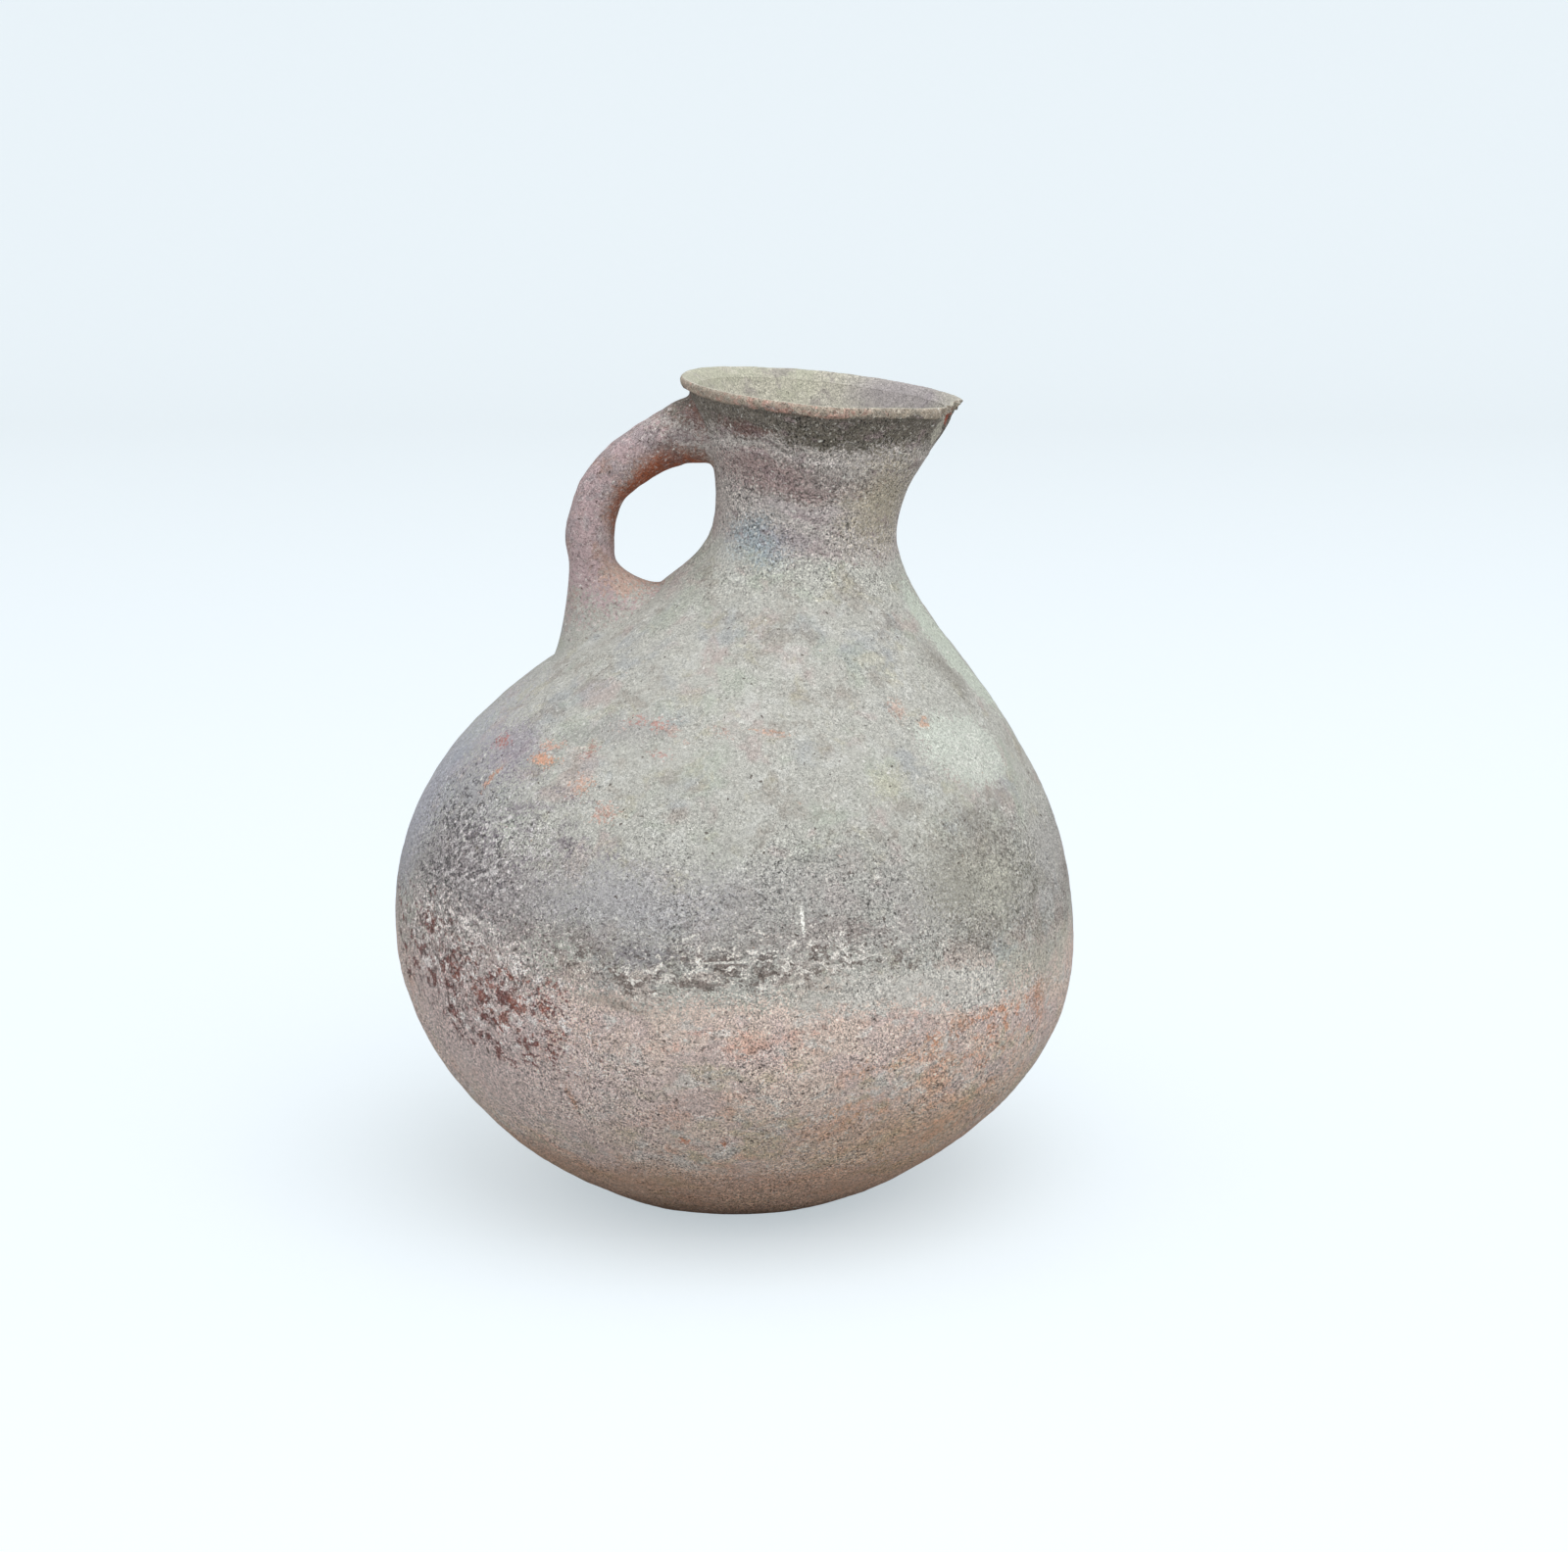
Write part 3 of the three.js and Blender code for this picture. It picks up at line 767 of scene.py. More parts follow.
def oval(centre, axes, size, tone, strength, soft, turn, ragged, low, high):
    turned = Matrix(axes).transposed() @ Matrix.Rotation(math.radians(turn), 3, "Z")
    return {
        "centre": tuple(centre), "turn": tuple(turned.to_euler()), "size": [2 * s for s in size],
        "tone": tone, "strength": strength, "soft": soft, "ragged": ragged, "low": low, "high": high}


# A band right round the jug between two heights of the straight jug
def band(low, high, tone, strength, soft=0.3, ragged=1.0):
    travel = np.full(4, travelAt(min(max((low + high) / 2, 0), wall["mouthHeight"])))
    ring = roundPoint(travel, np.radians([0, 90, 180, 270]), 0)
    across, depth = Vector(ring[0] - ring[2]).normalized(), Vector(ring[1] - ring[3]).normalized()
    up = across.cross(depth)
    centre = ring.mean(axis=0)
    centre[2] += (low + high) / 2 - profileAt(travel[0], 0)[1]
    size = (900, 900, (high - low) / 2)
    return oval(centre, (across, depth, up), size, tone, strength, soft, 0, ragged,
                low - stainMargin, high + stainMargin)


# A patch in the open air beside the handle, given by its middle and its size along each axis
def airPatch(centre, size, tone, strength, soft=0.6, ragged=1.0):
    return oval(centre, ((1, 0, 0), (0, 1, 0), (0, 0, 1)), size, tone, strength, soft, 0, ragged,
                centre[2] - size[2], centre[2] + size[2])


# Breaks a patch or band up into flecks: size, how much they cover, stretch, detail and edge
def flecked(stain, size, coverage, stretch=1.0, detail=2.5, edge=0.05):
    return {**stain, "flecks": (size, coverage, stretch, detail, edge)}


# The body of the jug, in the order in which the stains lie on the clay, with some painted shade and
# painted sheen among them
bodyLayers = {
    "bowlTone": band(-60, 119, "#e9d3c6", 0.9, 0.09, 1.8),
    "bowlEdge": flecked(band(106, 136, "#cbb9af", 0.6, 0.6), 16, 0.72, 1.6, 7, 0.10),
    "bowlMauve": flecked(band(-60, 117, "#d2bebb", 0.6, 0.1), 16, 0.72, 1.5, 7, 0.12),
    "bowlSalmon": flecked(band(-60, 110, "#e0b39c", 0.6, 0.1), 12, 0.62, 1.6, 7, 0.14),
    "bowlOlive": flecked(band(-60, 96, "#c8bfa2", 0.6, 0.1), 14, 0.60, 1.4, 7, 0.12),
    "bowlAsh": flecked(band(30, 120, "#dbd8d3", 0.7, 0.3), 8, 0.60, 1.6, 6, 0.10),
    "warmFoot": band(-40, 46, "#cba184", 0.65, 0.35),
    # Darker brown at the foot: partly the clay's own brown, partly painted shade near the floor
    "brownFootAndShade": band(-34, 18, "#8a6a55", 0.7, 0.6),
    "paleLowLeft": patch(-42, 74, 190, 84, "#e5d2cd", 0.85, 0.8),
    "amberLow": patch(34, 50, 160, 56, "#d0a880", 0.5, 0.8),
    "greyGirdle": band(120, 168, "#b1adab", 0.6, 0.6),
    "girdleBrown": flecked(band(112, 150, "#857a74", 0.5, 0.7), 12, 0.70, 1.8, 7, 0.10),
    "greyDipRight": flecked(patch(96, 113, 110, 30, "#aeaaa4", 0.8, 0.6, 7), 10, 1.05, 1.6, 7, 0.12),
    "pinkRiseBack": flecked(patch(148, 128, 120, 30, "#c6b3ab", 0.8, 0.6, -7), 10, 1.05, 1.6, 7, 0.12),
    "greyDipBack": flecked(patch(-160, 111, 110, 34, "#aaa59f", 0.8, 0.6, 6), 10, 1.05, 1.6, 7, 0.12),
    "pinkRiseLeft": flecked(patch(-112, 129, 100, 28, "#c4afa9", 0.8, 0.6, -6), 10, 1.05, 1.6, 7, 0.12),
    # Painted bluish sheen along the grazing left edge
    "coolSheenLeft": patch(-80, 168, 90, 150, "#b4b5c8", 0.6, 0.9),
    "leftShade": patch(-58, 172, 96, 70, "#9c9aa4", 0.6, 0.9),
    "leftSmoke": patch(-46, 146, 130, 64, "#968c8e", 0.7, 0.8),
    "leftPink": patch(-48, 102, 160, 84, "#d2bfbd", 0.8, 0.7),
    "rightOlive": patch(48, 150, 100, 66, "#a5a293", 0.7, 0.8),
    "rightGreyBrown": flecked(patch(52, 167, 90, 46, "#95908a", 0.6, 0.7, 12), 9, 0.90, 1.6, 7, 0.14),
    "rightDark": flecked(patch(60, 134, 50, 56, "#7d7c70", 0.6, 0.7, 30), 8, 0.76, 1.8, 7, 0.12),
    "shoulderBrown": patch(64, 219, 24, 44, "#98948b", 0.75, 0.7, 10),
    "shoulderStrip": flecked(patch(81, 226, 28, 78, "#d0d8ca", 0.85, 0.2, 9, 3), 6, 1.12, 1.4, 7, 0.05),
    "limePatch": flecked(patch(55, 193, 52, 33, "#d1d6cb", 0.88, 0.16, -14, 4), 6, 1.12, 1.2, 7, 0.05),
    "limeCorner": flecked(patch(50, 200, 34, 20, "#d1d6cb", 0.8, 0.2, -6, 4), 6, 1.12, 1.2, 7, 0.05),
    "shoulderSmear": patch(-34, 203, 60, 22, "#a39f9f", 0.5, 0.8, 20),
    "yellowSmear": patch(30, 186, 24, 20, "#c5c4ab", 0.5, 0.8, 30),
    "purpleTint": patch(-56, 191, 64, 36, "#a196a5", 0.6, 0.8),
    "mauveLeft": flecked(patch(-36, 168, 130, 80, "#857b84", 0.65, 0.8), 9, 0.70, 1.6, 7, 0.10),
    "backSmoke": flecked(patch(180, 165, 260, 120, "#97908c", 0.65, 0.7), 16, 0.70, 1.6, 7, 0.10),
    "backRust": flecked(patch(-150, 118, 240, 60, "#8a6258", 0.6, 0.6), 7, 0.58, 1.7, 7, 0.05),
    "pinkShoulder": flecked(patch(-20, 206, 90, 22, "#c9a79b", 0.6, 0.9), 6, 0.66, 2.0, 5, 0.10),
    "greyMiddle": patch(-16, 148, 104, 32, "#b8b6b9", 0.7, 0.9),
    "duskRight": patch(20, 160, 80, 26, "#a9a9a3", 0.5, 0.9),
    "middleDusk": patch(-12, 131, 50, 14, "#8f8b95", 0.5, 0.8),
    "pinkMiddle": patch(15, 136, 60, 16, "#a0918d", 0.5, 0.8),
    "brownGirdle": flecked(patch(2, 125, 230, 26, "#71625b", 0.75, 0.5), 6, 0.60, 1.8, 7, 0.06),
    "lowOlive": patch(-17, 111, 40, 7, "#8a7f71", 0.5, 0.8),
    "salmonRight": flecked(patch(36, 66, 140, 84, "#e2b392", 0.65, 0.6), 9, 0.70, 1.5, 7, 0.14),
    "salmonMiddle": flecked(patch(2, 96, 120, 26, "#dfb4a3", 0.6, 0.6), 7, 0.68, 1.7, 7, 0.12),
    "limeRight": flecked(patch(34, 111, 160, 27, "#d5d2cb", 0.9, 0.6, -4), 3, 0.94, 1.8, 6, 0.08),
    "oliveEdge": flecked(patch(62, 110, 120, 44, "#bdbbae", 0.75, 0.9), 8, 1.08, 1.4, 7, 0.14),
    "orangeFlakesRight": flecked(patch(48, 90, 130, 44, "#d59b7b", 0.8, 0.6), 6, 0.58, 1.2, 7, 0.05),
    "paleStreakRight": flecked(patch(50, 146, 24, 42, "#c6c4b7", 0.65, 0.6, -16), 4, 0.84, 1.5, 6, 0.08),
    "sootLeft": flecked(patch(-54, 152, 130, 110, "#464145", 0.75, 0.7, -30), 1.7, 0.62, 2.6, 4, 0.04),
    "sootPatchLeft": flecked(patch(-42, 160, 110, 90, "#68646a", 0.5, 0.7, -30), 7, 0.46, 1.6, 7, 0.06),
    "limeLeft": flecked(patch(-46, 156, 130, 90, "#e2dddc", 0.75, 0.7, 30), 1.7, 0.58, 2.8, 3, 0.04),
    "sootMiddle": flecked(patch(-4, 140, 190, 60, "#6c625f", 0.5, 0.8), 1.8, 0.54, 2.2, 4),
    "sootRight": flecked(patch(54, 152, 90, 90, "#625e55", 0.55, 0.8, 20), 1.8, 0.58, 1.8, 4),
    "pinkSmudgeLeft": flecked(patch(-58, 127, 60, 18, "#a88183", 0.6, 0.7, -20), 6, 0.8, 1.5, 6, 0.08),
    "redLowLeft": flecked(patch(-52, 110, 180, 62, "#7a4640", 0.9, 0.4, -18), 7, 0.58, 1.2, 8, 0.03),
    "darkLowLeft": flecked(patch(-60, 110, 140, 76, "#54413e", 0.65, 0.5, -22), 5, 0.53, 1.3, 7, 0.03),
    "rustLowLeft": flecked(patch(-40, 109, 120, 46, "#9a5c4c", 0.8, 0.5, -18), 5, 0.58, 1.2, 7, 0.03),
    "fineLowLeft": flecked(patch(-50, 112, 150, 84, "#5c4641", 0.8, 0.6, -18), 1.6, 0.56, 1.0, 4, 0.04),
    "fineLimeLowLeft": flecked(
        patch(-50, 114, 150, 84, "#efe6e3", 0.6, 0.6, -18), 1.4, 0.42, 1.0, 4, 0.04),
    "limeLowLeft": flecked(patch(-46, 111, 180, 60, "#f2e9e6", 1.0, 0.4, -18), 4.2, 0.53, 1.1, 8, 0.03),
    "limeGirdle": flecked(patch(4, 126, 220, 38, "#f4eee6", 1.0, 0.6, 2), 3.2, 0.54, 1.8, 7, 0.03),
    "limeGirdleLeft": flecked(patch(-46, 128, 140, 28, "#f1e8e4", 1.0, 0.5, -10), 3.0, 0.56, 1.8, 7, 0.03),
    "limeGirdleFine": flecked(band(106, 152, "#ece6de", 0.8, 0.9), 1.3, 0.52, 2.4, 3, 0.04),
    "darkGirdleFine": flecked(band(104, 146, "#584c46", 0.7, 0.9), 1.3, 0.54, 1.8, 3, 0.04),
    "limeShoulder": flecked(patch(56, 192, 44, 34, "#e2e3da", 0.8, 0.5, -12), 1.6, 0.62, 1.0, 2),
}
neckLayers = {
    "neckTone": band(262, 330, "#c5bcb8", 0.8, 0.10, 1.4),
    # Dark band under and on the rim: partly smoke stain, partly painted shadow of the rolled rim
    "rimSmokeAndShade": band(305, 342, "#6b6458", 0.85, 0.28, 1.4),
    "oliveSide": patch(44, 287, 54, 50, "#ada288", 0.7, 0.8),
    "paleStrip": patch(-5, 283, 60, 8, "#c1b6b7", 0.6, 0.7),
    "mauveBand": patch(-20, 294, 80, 20, "#a08280", 0.7, 0.6, -3),
    "greyBand": patch(12, 296, 38, 14, "#a3a09b", 0.5, 0.7),
    "blueGrey": patch(-34, 268, 42, 26, "#9fb0b9", 0.75, 0.9),
    "mauveSpot": patch(-8, 272, 30, 12, "#988b93", 0.5, 0.8),
    "redUnderRim": patch(-37, 309, 34, 10, "#755450", 0.75, 0.7, -6),
    # Dark patch just under the rim: partly smoke stain, partly painted shadow of the rim
    "smokeAndShadeUnderRim": patch(12, 311, 70, 12, "#645f53", 0.7, 0.7),
    "ledgeShade": patch(-24, 304.2, 40, 2.2, "#5d544d", 0.6, 0.7, -2),
    "ledgeLight": patch(-10, 300.5, 60, 4, "#b8b2ab", 0.3, 0.9, -3),
    "neckMauve": flecked(band(255, 330, "#a08d8f", 0.5, 0.3), 5, 0.54, 3, 6, 0.08),
    "neckDark": flecked(band(262, 330, "#4c4440", 0.5, 0.5), 1.2, 0.47, 4, 4),
    "neckSoot": flecked(patch(-30, 290, 110, 66, "#463d3c", 0.7, 0.8), 1.3, 0.54, 2, 4),
    "neckLime": flecked(band(264, 330, "#e4ded8", 0.75, 0.5), 1.0, 0.37, 1.6, 4, 0.03),
}
handleLayers = {
    "handleTone": airPatch((-50, 0, 280), (46, 60, 56), "#b5978f", 0.95, 0.6),
    "handleMauve": flecked(
        airPatch((-50, 0, 280), (46, 60, 60), "#c4adb0", 0.8, 0.4), 9, 0.92, 1.0, 6, 0.12),
    "handleGrey": flecked(airPatch((-46, 0, 292), (42, 60, 50), "#a79ea0", 0.6, 0.4), 6, 0.7, 1.0, 5, 0.1),
    "oliveInside": airPatch((-25, 0, 274), (29, 60, 33.5), "#93806f", 0.6, 0.2, 0.8),
    "orangeInside": airPatch((-25, 0, 274), (26.8, 60, 31), "#a55a38", 0.95, 0.26, 0.6),
    "lowerRoot": flecked(airPatch((-42, 0, 247), (20, 40, 14), "#d3b3a2", 0.75, 0.8), 6, 1.0, 1.0, 6, 0.1),
    "redByNeck": airPatch((-14, -6, 314), (8, 16, 9), "#8c5747", 0.6, 0.7),
    "padSoot": flecked(
        airPatch((-22, -10, 301), (26, 30, 22), "#746867", 0.55, 0.8), 6, 0.85, 1.0, 6, 0.14),
    "handleSoot": flecked(airPatch((-40, 0, 272), (60, 60, 80), "#5c4a46", 0.5, 0.3), 1.3, 0.50, 1.6, 4),
    "handleLime": flecked(airPatch((-40, 0, 272), (60, 60, 80), "#e3d8d4", 0.6, 0.3), 1.3, 0.46, 1.6, 3),
}
rimLayers = {
    "rimTone": band(318.6, 345, "#b9ab9a", 0.9, 0.05),
    "rimPink": flecked(patch(-14, 322, 130, 20, "#c99d8f", 0.75, 0.6), 4, 0.72, 1.5, 6, 0.12),
    "rimGrey": flecked(band(300, 345, "#958f83", 0.6, 0.3), 4.5, 0.52, 1.5, 5, 0.1),
    "rimLime": flecked(band(300, 345, "#dcd7c9", 0.6, 0.3), 1.3, 0.48, 1.6, 3),
    "rimDark": flecked(band(300, 345, "#756b5f", 0.6, 0.3), 1.3, 0.42, 1.5, 3),
    "rimPinkEnd": patch(-70, 318, 16, 12, "#c49c92", 0.6, 0.8),
}

# Flakes and scratches one by one, with crisp edges
marks = {
    "whiteScratch": patch(12, 142.5, 1.8, 13, "#fbf9f2", 1.0, 0.5, 2),
    "slantScratch": patch(-6, 137, 14, 1.2, "#e3e0d8", 0.8, 0.6, 22),
    "girdleScratchLeft": patch(0, 128.5, 30, 1.3, "#ece8e0", 0.85, 0.6, 2),
    "girdleScratchRight": patch(22, 128, 18, 1.2, "#ece8e0", 0.85, 0.6, 5),
    "hairScratch": patch(22, 155, 34, 0.8, "#dad8d0", 0.6, 0.6, 2),
    "darkHair": patch(14, 163, 36, 0.9, "#7a7b76", 0.6, 0.6, -4, 1.5),
    "orangeFlake": flecked(
        patch(-43.5, 190.5, 18, 7, "#dfa98b", 0.85, 0.5, 0, 2.5), 3.4, 0.86, 1.8, 6, 0.06),
    "orangeFlakeAbove": flecked(
        patch(-45, 195.5, 14, 6, "#d9b09d", 0.85, 0.6, 8, 2.5), 3.2, 0.9, 1.8, 6, 0.06),
    "paleFlakeEdge": patch(-38, 196, 11, 1.6, "#e2d8cd", 0.8, 0.6, 25, 2.5),
    "redFlake": flecked(patch(-61, 192, 13, 8, "#b8756a", 0.8, 0.7, 0, 2.5), 3.4, 1.0, 1.6, 6, 0.08),
    "thinFlake": patch(-54.5, 182, 3.4, 14, "#d2a58e", 0.8, 0.6, -12, 2.5),
    "flakeBelow": flecked(patch(-31, 185, 12, 12, "#d8ad96", 0.7, 0.7, 30, 2.5), 3.4, 0.8, 1.4, 6, 0.06),
    "redFlakeBeside": flecked(
        patch(-34.5, 196, 8, 10, "#bf8478", 0.6, 0.7, 0, 2.5), 2.8, 0.8, 1.2, 6, 0.06),
    "paleFlakeBelow": patch(-23, 178, 6, 3, "#d9cfc4", 0.7, 0.7, 20, 2.5),
    "flakeTrail": flecked(patch(-24, 177, 13, 11, "#cfa797", 0.75, 0.7, 30, 2.5), 3.2, 0.86, 1.4, 6, 0.06),
    "pinkFlakeOne": flecked(
        patch(-29, 206.5, 11, 7, "#c88f85", 0.6, 0.8, 0, 2.5), 2.8, 0.82, 1.6, 6, 0.08),
    "pinkFlakeTwo": flecked(
        patch(-22.5, 206.5, 10, 8, "#c88f85", 0.6, 0.8, 0, 2.5), 2.8, 0.82, 1.6, 6, 0.08),
    "orangeDash": patch(3, 206, 16, 2.6, "#d2ab95", 0.75, 0.8, -6, 2.5),
    "pinkFlakeThree": flecked(
        patch(-18, 197, 11, 6, "#c98f86", 0.6, 0.8, 0, 2.5), 2.8, 0.82, 1.6, 6, 0.08),
    "redSmearRight": patch(37, 212, 8, 12, "#c3a090", 0.6, 0.8, 0, 2.0),
    "orangeSpotRight": patch(44, 205.5, 6, 5, "#cf9f84", 0.7, 0.7, 0, 2.5),
    "orangeSpotLow": patch(38.5, 97, 14, 8, "#cc9a7c", 0.7, 0.8, 20, 2.5),
    "orangeSpotEdge": patch(58.5, 98, 14, 14, "#cfa085", 0.75, 0.8, 0, 2.5),
    "orangeDotLow": patch(-9, 55.5, 6, 5, "#cf8a68", 0.85, 0.7, 0, 2.0),
    "paleDotMiddle": patch(9, 85.5, 3.5, 4, "#eedad0", 0.9, 0.6, 0, 2.0),
    "orangeDotMiddle": patch(-2, 54.5, 3, 5, "#cf8a6a", 0.8, 0.7, 0, 2.0),
    "orangeStreakLow": patch(-28, 69, 3, 18, "#bd8a68", 0.7, 0.8, 8, 2.0),
    "scoreLineTop": patch(-2, 288, 32, 0.7, "#57504a", 0.75, 0.6, -1, 1.5),
    "scoreLineMiddle": patch(0, 286.2, 34, 0.7, "#57504a", 0.75, 0.6, -1, 1.5),
    "scoreLineLow": patch(4, 284.6, 26, 0.6, "#645c55", 0.7, 0.6, -1, 1.5),
    "spoutScar": patch(66, 313.5, 10, 15, "#cdc8ba", 0.85, 0.4, 16, 1.5),
    "brokenSpout": flecked(patch(77, 319, 12, 9, "#ab5841", 0.9, 0.4, 10, 2.0), 3, 1.3, 1.0, 5, 0.08),
}


# What all the outer clay shares, in millimetres
skin = {
    "base": "#c1c0b8", "roughness": 0.82, "roughnessSpread": 0.12, "gritSize": 1.2,
    "grainSize": 0.8, "grainContrast": 1.25, "grainRelief": 0.07,
    "softReach": 5, "softWave": 34, "raggedReach": 1.3, "raggedWave": 4.5,
    "pitTone": "#5d5048", "pitCover": 0.8, "pitSpacing": 4, "pitRadius": 0.5, "pitDepth": 0.3,
    "speckTone": "#efede6", "speckCover": 0.85, "speckSpacing": 5, "speckRadius": 0.6, "speckLift": 0.10,
}

# Clouds of colour over all the outer clay: tone, shift, wavelength, start, edge and amount
skinClouds = (
    ("#b3bbab", 40, 26, 0.51, 0.14, 0.50), ("#bfaaa6", 90, 22, 0.53, 0.12, 0.50),
    ("#a5aab0", 150, 28, 0.54, 0.12, 0.45), ("#9c9288", 210, 15, 0.53, 0.12, 0.50),
    ("#d3d3cd", 270, 10, 0.54, 0.10, 0.50), ("#bdb79e", 330, 13, 0.56, 0.10, 0.40),
)

# Where the grain is weaker or stronger than elsewhere, as a share of its contrast
grainChanges = (
    (band(160, 262, "#000000", 1.0, 0.5, 0.5), -0.4), (band(-60, 112, "#000000", 1.0, 0.3, 0.5), 0.3),
    (band(266, 345, "#000000", 1.0, 0.3, 0.5), 0.3), (patch(-52, 140, 130, 130, "#000000", 1.0, 0.7), 0.5),
)

# Fine marks over all the outer clay: turn in degrees, tone, size, coverage, stretch and strength
strokes = (
    ((0, 35, 20), "#e6e4dd", 0.8, 0.44, 4, 0.5),
    ((20, -50, 0), "#e6e4dd", 0.8, 0.44, 4, 0.5),
    ((0, 0, 0), "#635951", 0.8, 0.42, 4, 0.45),
    ((0, 80, 40), "#635951", 0.8, 0.40, 4, 0.45),
    ((0, 0, 0), "#d8a78f", 2.5, 0.20, 1.5, 0.6),
)


def touches(stain, span):
    return stain["low"] < span[1] and stain["high"] > span[0]


def stainMask(tree, stain, place, grit):
    return useGroup(tree, groups["stainMask"], {
        "Place": place, "Centre": stain["centre"], "Turn": stain["turn"], "Size": stain["size"],
        "Softness": stain["soft"], "Grit": grit, "Raggedness": stain["ragged"]})["Mask"]


# Lays one stain or patch of painted shade, whole or in flecks, over the colour below it
def lay(tree, stain, colour, place, fleckPlace, grit, shift):
    mask = stainMask(tree, stain, place, grit)
    if "flecks" in stain:
        size, coverage, stretch, detail, edge = stain["flecks"]
        mask = useGroup(tree, groups["flecks"], {
            "Place": fleckPlace, "Turn": stain["turn"], "Shift": shift, "Stretch": stretch, "Size": size,
            "Coverage": maths(tree, "MULTIPLY", mask, coverage), "Detail": detail, "Edge": edge})["Mask"]
    return blend(tree, maths(tree, "MULTIPLY", mask, stain["strength"]), colour, shade(stain["tone"]))


def layClouds(tree, colour, place, clouds):
    for tone, shift, wave, start, edge, amount in clouds:
        colour = useGroup(tree, groups["clouds"], {
            "Colour": colour, "Tone": shade(tone), "Place": place, "Shift": (shift, shift, shift),
            "Wavelength": wave, "Start": start, "Edge": edge, "Amount": amount})["Colour"]
    return colour


def newMaterial(name):
    material = bpy.data.materials.new(name)
    material.use_nodes = True
    return material, material.node_tree, material.node_tree.nodes["Principled BSDF"]


# One clay: the shared skin with the stains, flecks and marks that reach its pieces
def clayMaterial(name, span, ownLayers, pits, specks, grain=1.0):
    material, tree, shader = newMaterial(name)
    place = scaled(tree, put(tree, "TexCoord").outputs["Object"], 1000)
    soft = useGroup(tree, groups["wander"], {
        "Place": place, "Reach": skin["softReach"], "Wavelength": skin["softWave"]})["Place"]
    ragged = useGroup(tree, groups["wander"], {
        "Place": place, "Reach": skin["raggedReach"], "Wavelength": skin["raggedWave"]})["Place"]
    gritNoise = put(tree, "TexNoise", {
        "Vector": place, "Scale": 1 / skin["gritSize"], "Detail": 3, "Roughness": 0.7})
    grit = ramp(tree, gritNoise.outputs["Fac"], 0.25, 0.75)

    colour = layClouds(tree, shade(skin["base"]), soft, skinClouds)
    for number, stain in enumerate([*bodyLayers.values(), *neckLayers.values(), *ownLayers.values()]):
        if touches(stain, span):
            colour = lay(tree, stain, colour, soft, ragged, grit, 17 * number)
    for turn, tone, size, coverage, stretch, strength in strokes:
        lines = useGroup(tree, groups["flecks"], {
            "Place": ragged, "Turn": [math.radians(angle) for angle in turn], "Shift": 41,
            "Stretch": stretch, "Size": size, "Coverage": coverage, "Edge": 0.08})["Mask"]
        colour = blend(tree, maths(tree, "MULTIPLY", lines, strength * grain), colour, shade(tone))
    for stain in marks.values():
        if touches(stain, span):
            where = place if stain["ragged"] <= 1 else ragged
            colour = lay(tree, stain, colour, where, ragged, grit, 0)

    contrast = skin["grainContrast"] * grain
    for stain, change in grainChanges:
        if touches(stain, span):
            mask = stainMask(tree, stain, soft, grit)
            contrast = maths(tree, "MULTIPLY_ADD", mask, change * skin["grainContrast"] * grain, contrast)
    grainNode = useGroup(tree, groups["grain"], {
        "Place": place, "Size": skin["grainSize"], "Contrast": contrast})
    colour = scaled(tree, colour, grainNode["Brightness"])
    spotMasks = {}
    for kind, where, share in (
            ("pit", ragged, pits), ("speck", vectors(tree, "ADD", ragged, (31, 17, 53)), specks)):
        spotMasks[kind] = useGroup(tree, groups["spots"], {
            "Place": where, "Spacing": skin[kind + "Spacing"], "Radius": skin[kind + "Radius"],
            "Share": share})["Mask"]
        cover = maths(tree, "MULTIPLY", spotMasks[kind], skin[kind + "Cover"])
        colour = blend(tree, cover, colour, shade(skin[kind + "Tone"]))
    feed(tree, shader.inputs["Base Color"], colour)

    rough = maths(tree, "MULTIPLY_ADD", grit, skin["roughnessSpread"], skin["roughness"])
    feed(tree, shader.inputs["Roughness"], rough)
    height = maths(tree, "MULTIPLY", grainNode["Height"], skin["grainRelief"])
    height = maths(tree, "MULTIPLY_ADD", spotMasks["pit"], -skin["pitDepth"], height)
    height = maths(tree, "MULTIPLY_ADD", spotMasks["speck"], skin["speckLift"], height)
    bump = put(tree, "Bump", {"Height": height, "Distance": mm})
    feed(tree, shader.inputs["Normal"], bump.outputs["Normal"])
    print("material", name, len(tree.nodes), "nodes")
    return material


# The inside of the wall, with painted shade that darkens it with depth
innerSkin = {
    "base": "#cbc7b7", "roughness": 0.95, "softReach": 4, "softWave": 20, "grit": 0.5,
    "grainSize": 0.8, "grainContrast": 0.8, "grainRelief": 0.1,
}
innerClouds = (
    ("#bdbea9", 12, 30, 0.50, 0.12, 0.6), ("#a39b98", 70, 14, 0.54, 0.08, 0.6),
    ("#dad6c7", 130, 9, 0.54, 0.06, 0.6),
)
# Painted shade on the inner wall below the lip
insideDepthShade = band(200, 311, "#857f77", 0.75, 0.4, 0.8)
insideSpout = airPatch((64, 22, 318), (34, 50, 16), "#a49ba3", 0.7, 0.8)


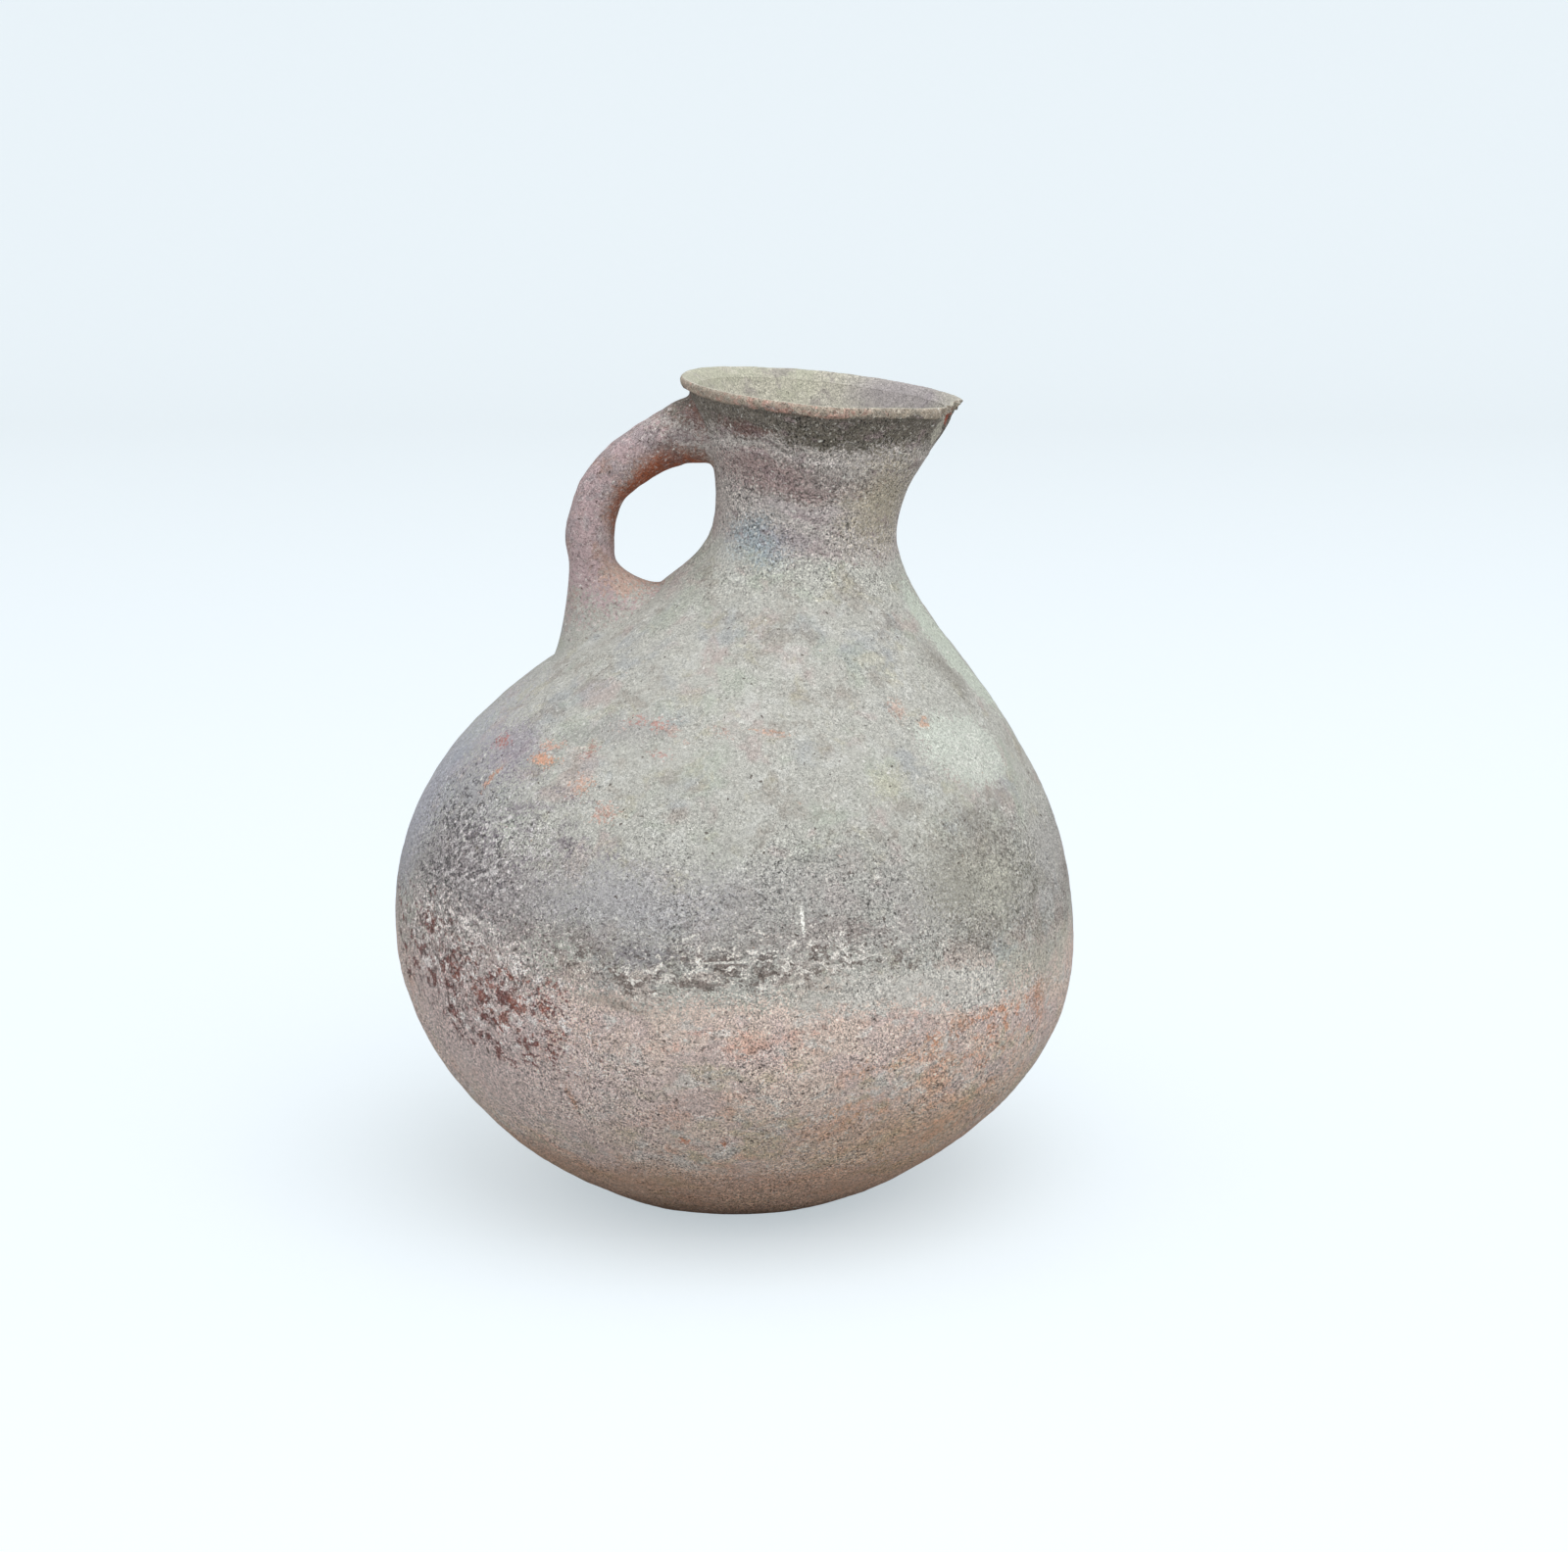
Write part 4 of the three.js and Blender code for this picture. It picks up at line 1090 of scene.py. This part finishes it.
def innerClay():
    material, tree, shader = newMaterial("inner_clay")
    place = scaled(tree, put(tree, "TexCoord").outputs["Object"], 1000)
    soft = useGroup(tree, groups["wander"], {
        "Place": place, "Reach": innerSkin["softReach"], "Wavelength": innerSkin["softWave"]})["Place"]
    colour = layClouds(tree, shade(innerSkin["base"]), soft, innerClouds)
    for stain in (insideSpout, insideDepthShade):
        colour = lay(tree, stain, colour, soft, soft, innerSkin["grit"], 0)
    grainNode = useGroup(tree, groups["grain"], {
        "Place": place, "Size": innerSkin["grainSize"], "Contrast": innerSkin["grainContrast"]})
    feed(tree, shader.inputs["Base Color"], scaled(tree, colour, grainNode["Brightness"]))
    shader.inputs["Roughness"].default_value = innerSkin["roughness"]
    height = maths(tree, "MULTIPLY", grainNode["Height"], innerSkin["grainRelief"])
    bump = put(tree, "Bump", {"Height": height, "Distance": mm})
    feed(tree, shader.inputs["Normal"], bump.outputs["Normal"])
    return material


# Heights that each clay covers, with what is its own
clays = {
    "red_clay": clayMaterial("red_clay", (-5, 92), {}, pits=0.8, specks=0.35),
    "belly_clay": clayMaterial("belly_clay", (80, 198), {}, pits=0.45, specks=0.45),
    "buff_clay": clayMaterial("buff_clay", (186, 253), {}, pits=0.35, specks=0.4),
    "neck_clay": clayMaterial("neck_clay", (241, 320), {}, pits=0.35, specks=0.4),
    "mauve_clay": clayMaterial("mauve_clay", (200, 322), handleLayers, pits=0.3, specks=0.35, grain=0.55),
    "rim_clay": clayMaterial("rim_clay", (316, 335), rimLayers, pits=0.3, specks=0.5, grain=0.75),
}
clays["inner_clay"] = innerClay()
clayOf = {
    "base_disc": "red_clay", "heel_course": "red_clay", "lower_bowl": "red_clay",
    "belly_course": "belly_clay", "shoulder_course": "belly_clay", "crown_course": "buff_clay",
    "neck_ring": "neck_clay", "mouth_flare": "neck_clay", "rim_roll": "rim_clay",
    "handle_upper_pad": "mauve_clay", "handle_rod": "mauve_clay", "handle_lower_pad": "mauve_clay",
}

# Outer faces take the piece's clay, and the inner faces the clay of the inside
for name, piece in pieces.items():
    piece.data.materials.append(clays[clayOf[name]])
    piece.data.materials.append(clays["inner_clay"])


# Paper that looks pale to the camera and throws less light up on the clay than it looks to
paper = {
    "inLight": (0.36, 0.36, 0.35, 1), "inView": (0.50, 0.53, 0.55, 1), "roughness": 0.95,
    "glow": (0.86, 0.95, 1.0, 1), "glowStrength": 0.54,
}


def studioPaper():
    material, tree, shader = newMaterial("studio_paper")
    seen = put(tree, "LightPath").outputs["Is Camera Ray"]
    feed(tree, shader.inputs["Base Color"], blend(tree, seen, paper["inLight"], paper["inView"]))
    shader.inputs["Roughness"].default_value = paper["roughness"]
    shader.inputs["Emission Color"].default_value = paper["glow"]
    feed(tree, shader.inputs["Emission Strength"], maths(tree, "MULTIPLY", seen, paper["glowStrength"]))
    return material


stage.data.materials.append(studioPaper())

# Soft daylight: an even sky and one large, weak lamp above on the right
light = {
    "sky": 0.8, "skyColour": (0.96, 0.98, 1.0),
    "lampPower": 30, "lampSize": 2.6, "lampAt": (0.7, -1.3, 2.6), "lampAim": (0, 0, 0.16),
}


def makeLight():
    world = bpy.data.worlds.new("studio_sky")
    bpy.context.scene.world = world
    world.use_nodes = True
    background = world.node_tree.nodes["Background"]
    background.inputs["Color"].default_value = (*light["skyColour"], 1)
    background.inputs["Strength"].default_value = light["sky"]
    data = bpy.data.lights.new("soft_lamp", "AREA")
    data.energy = light["lampPower"]
    data.size = light["lampSize"]
    lamp = bpy.data.objects.new("soft_lamp", data)
    lamp.location = light["lampAt"]
    aim = Vector(light["lampAim"]) - lamp.location
    lamp.rotation_euler = aim.to_track_quat("-Z", "Y").to_euler()
    bpy.context.collection.objects.link(lamp)
    bpy.context.scene.view_settings.view_transform = "Standard"


makeLight()
print("light done")
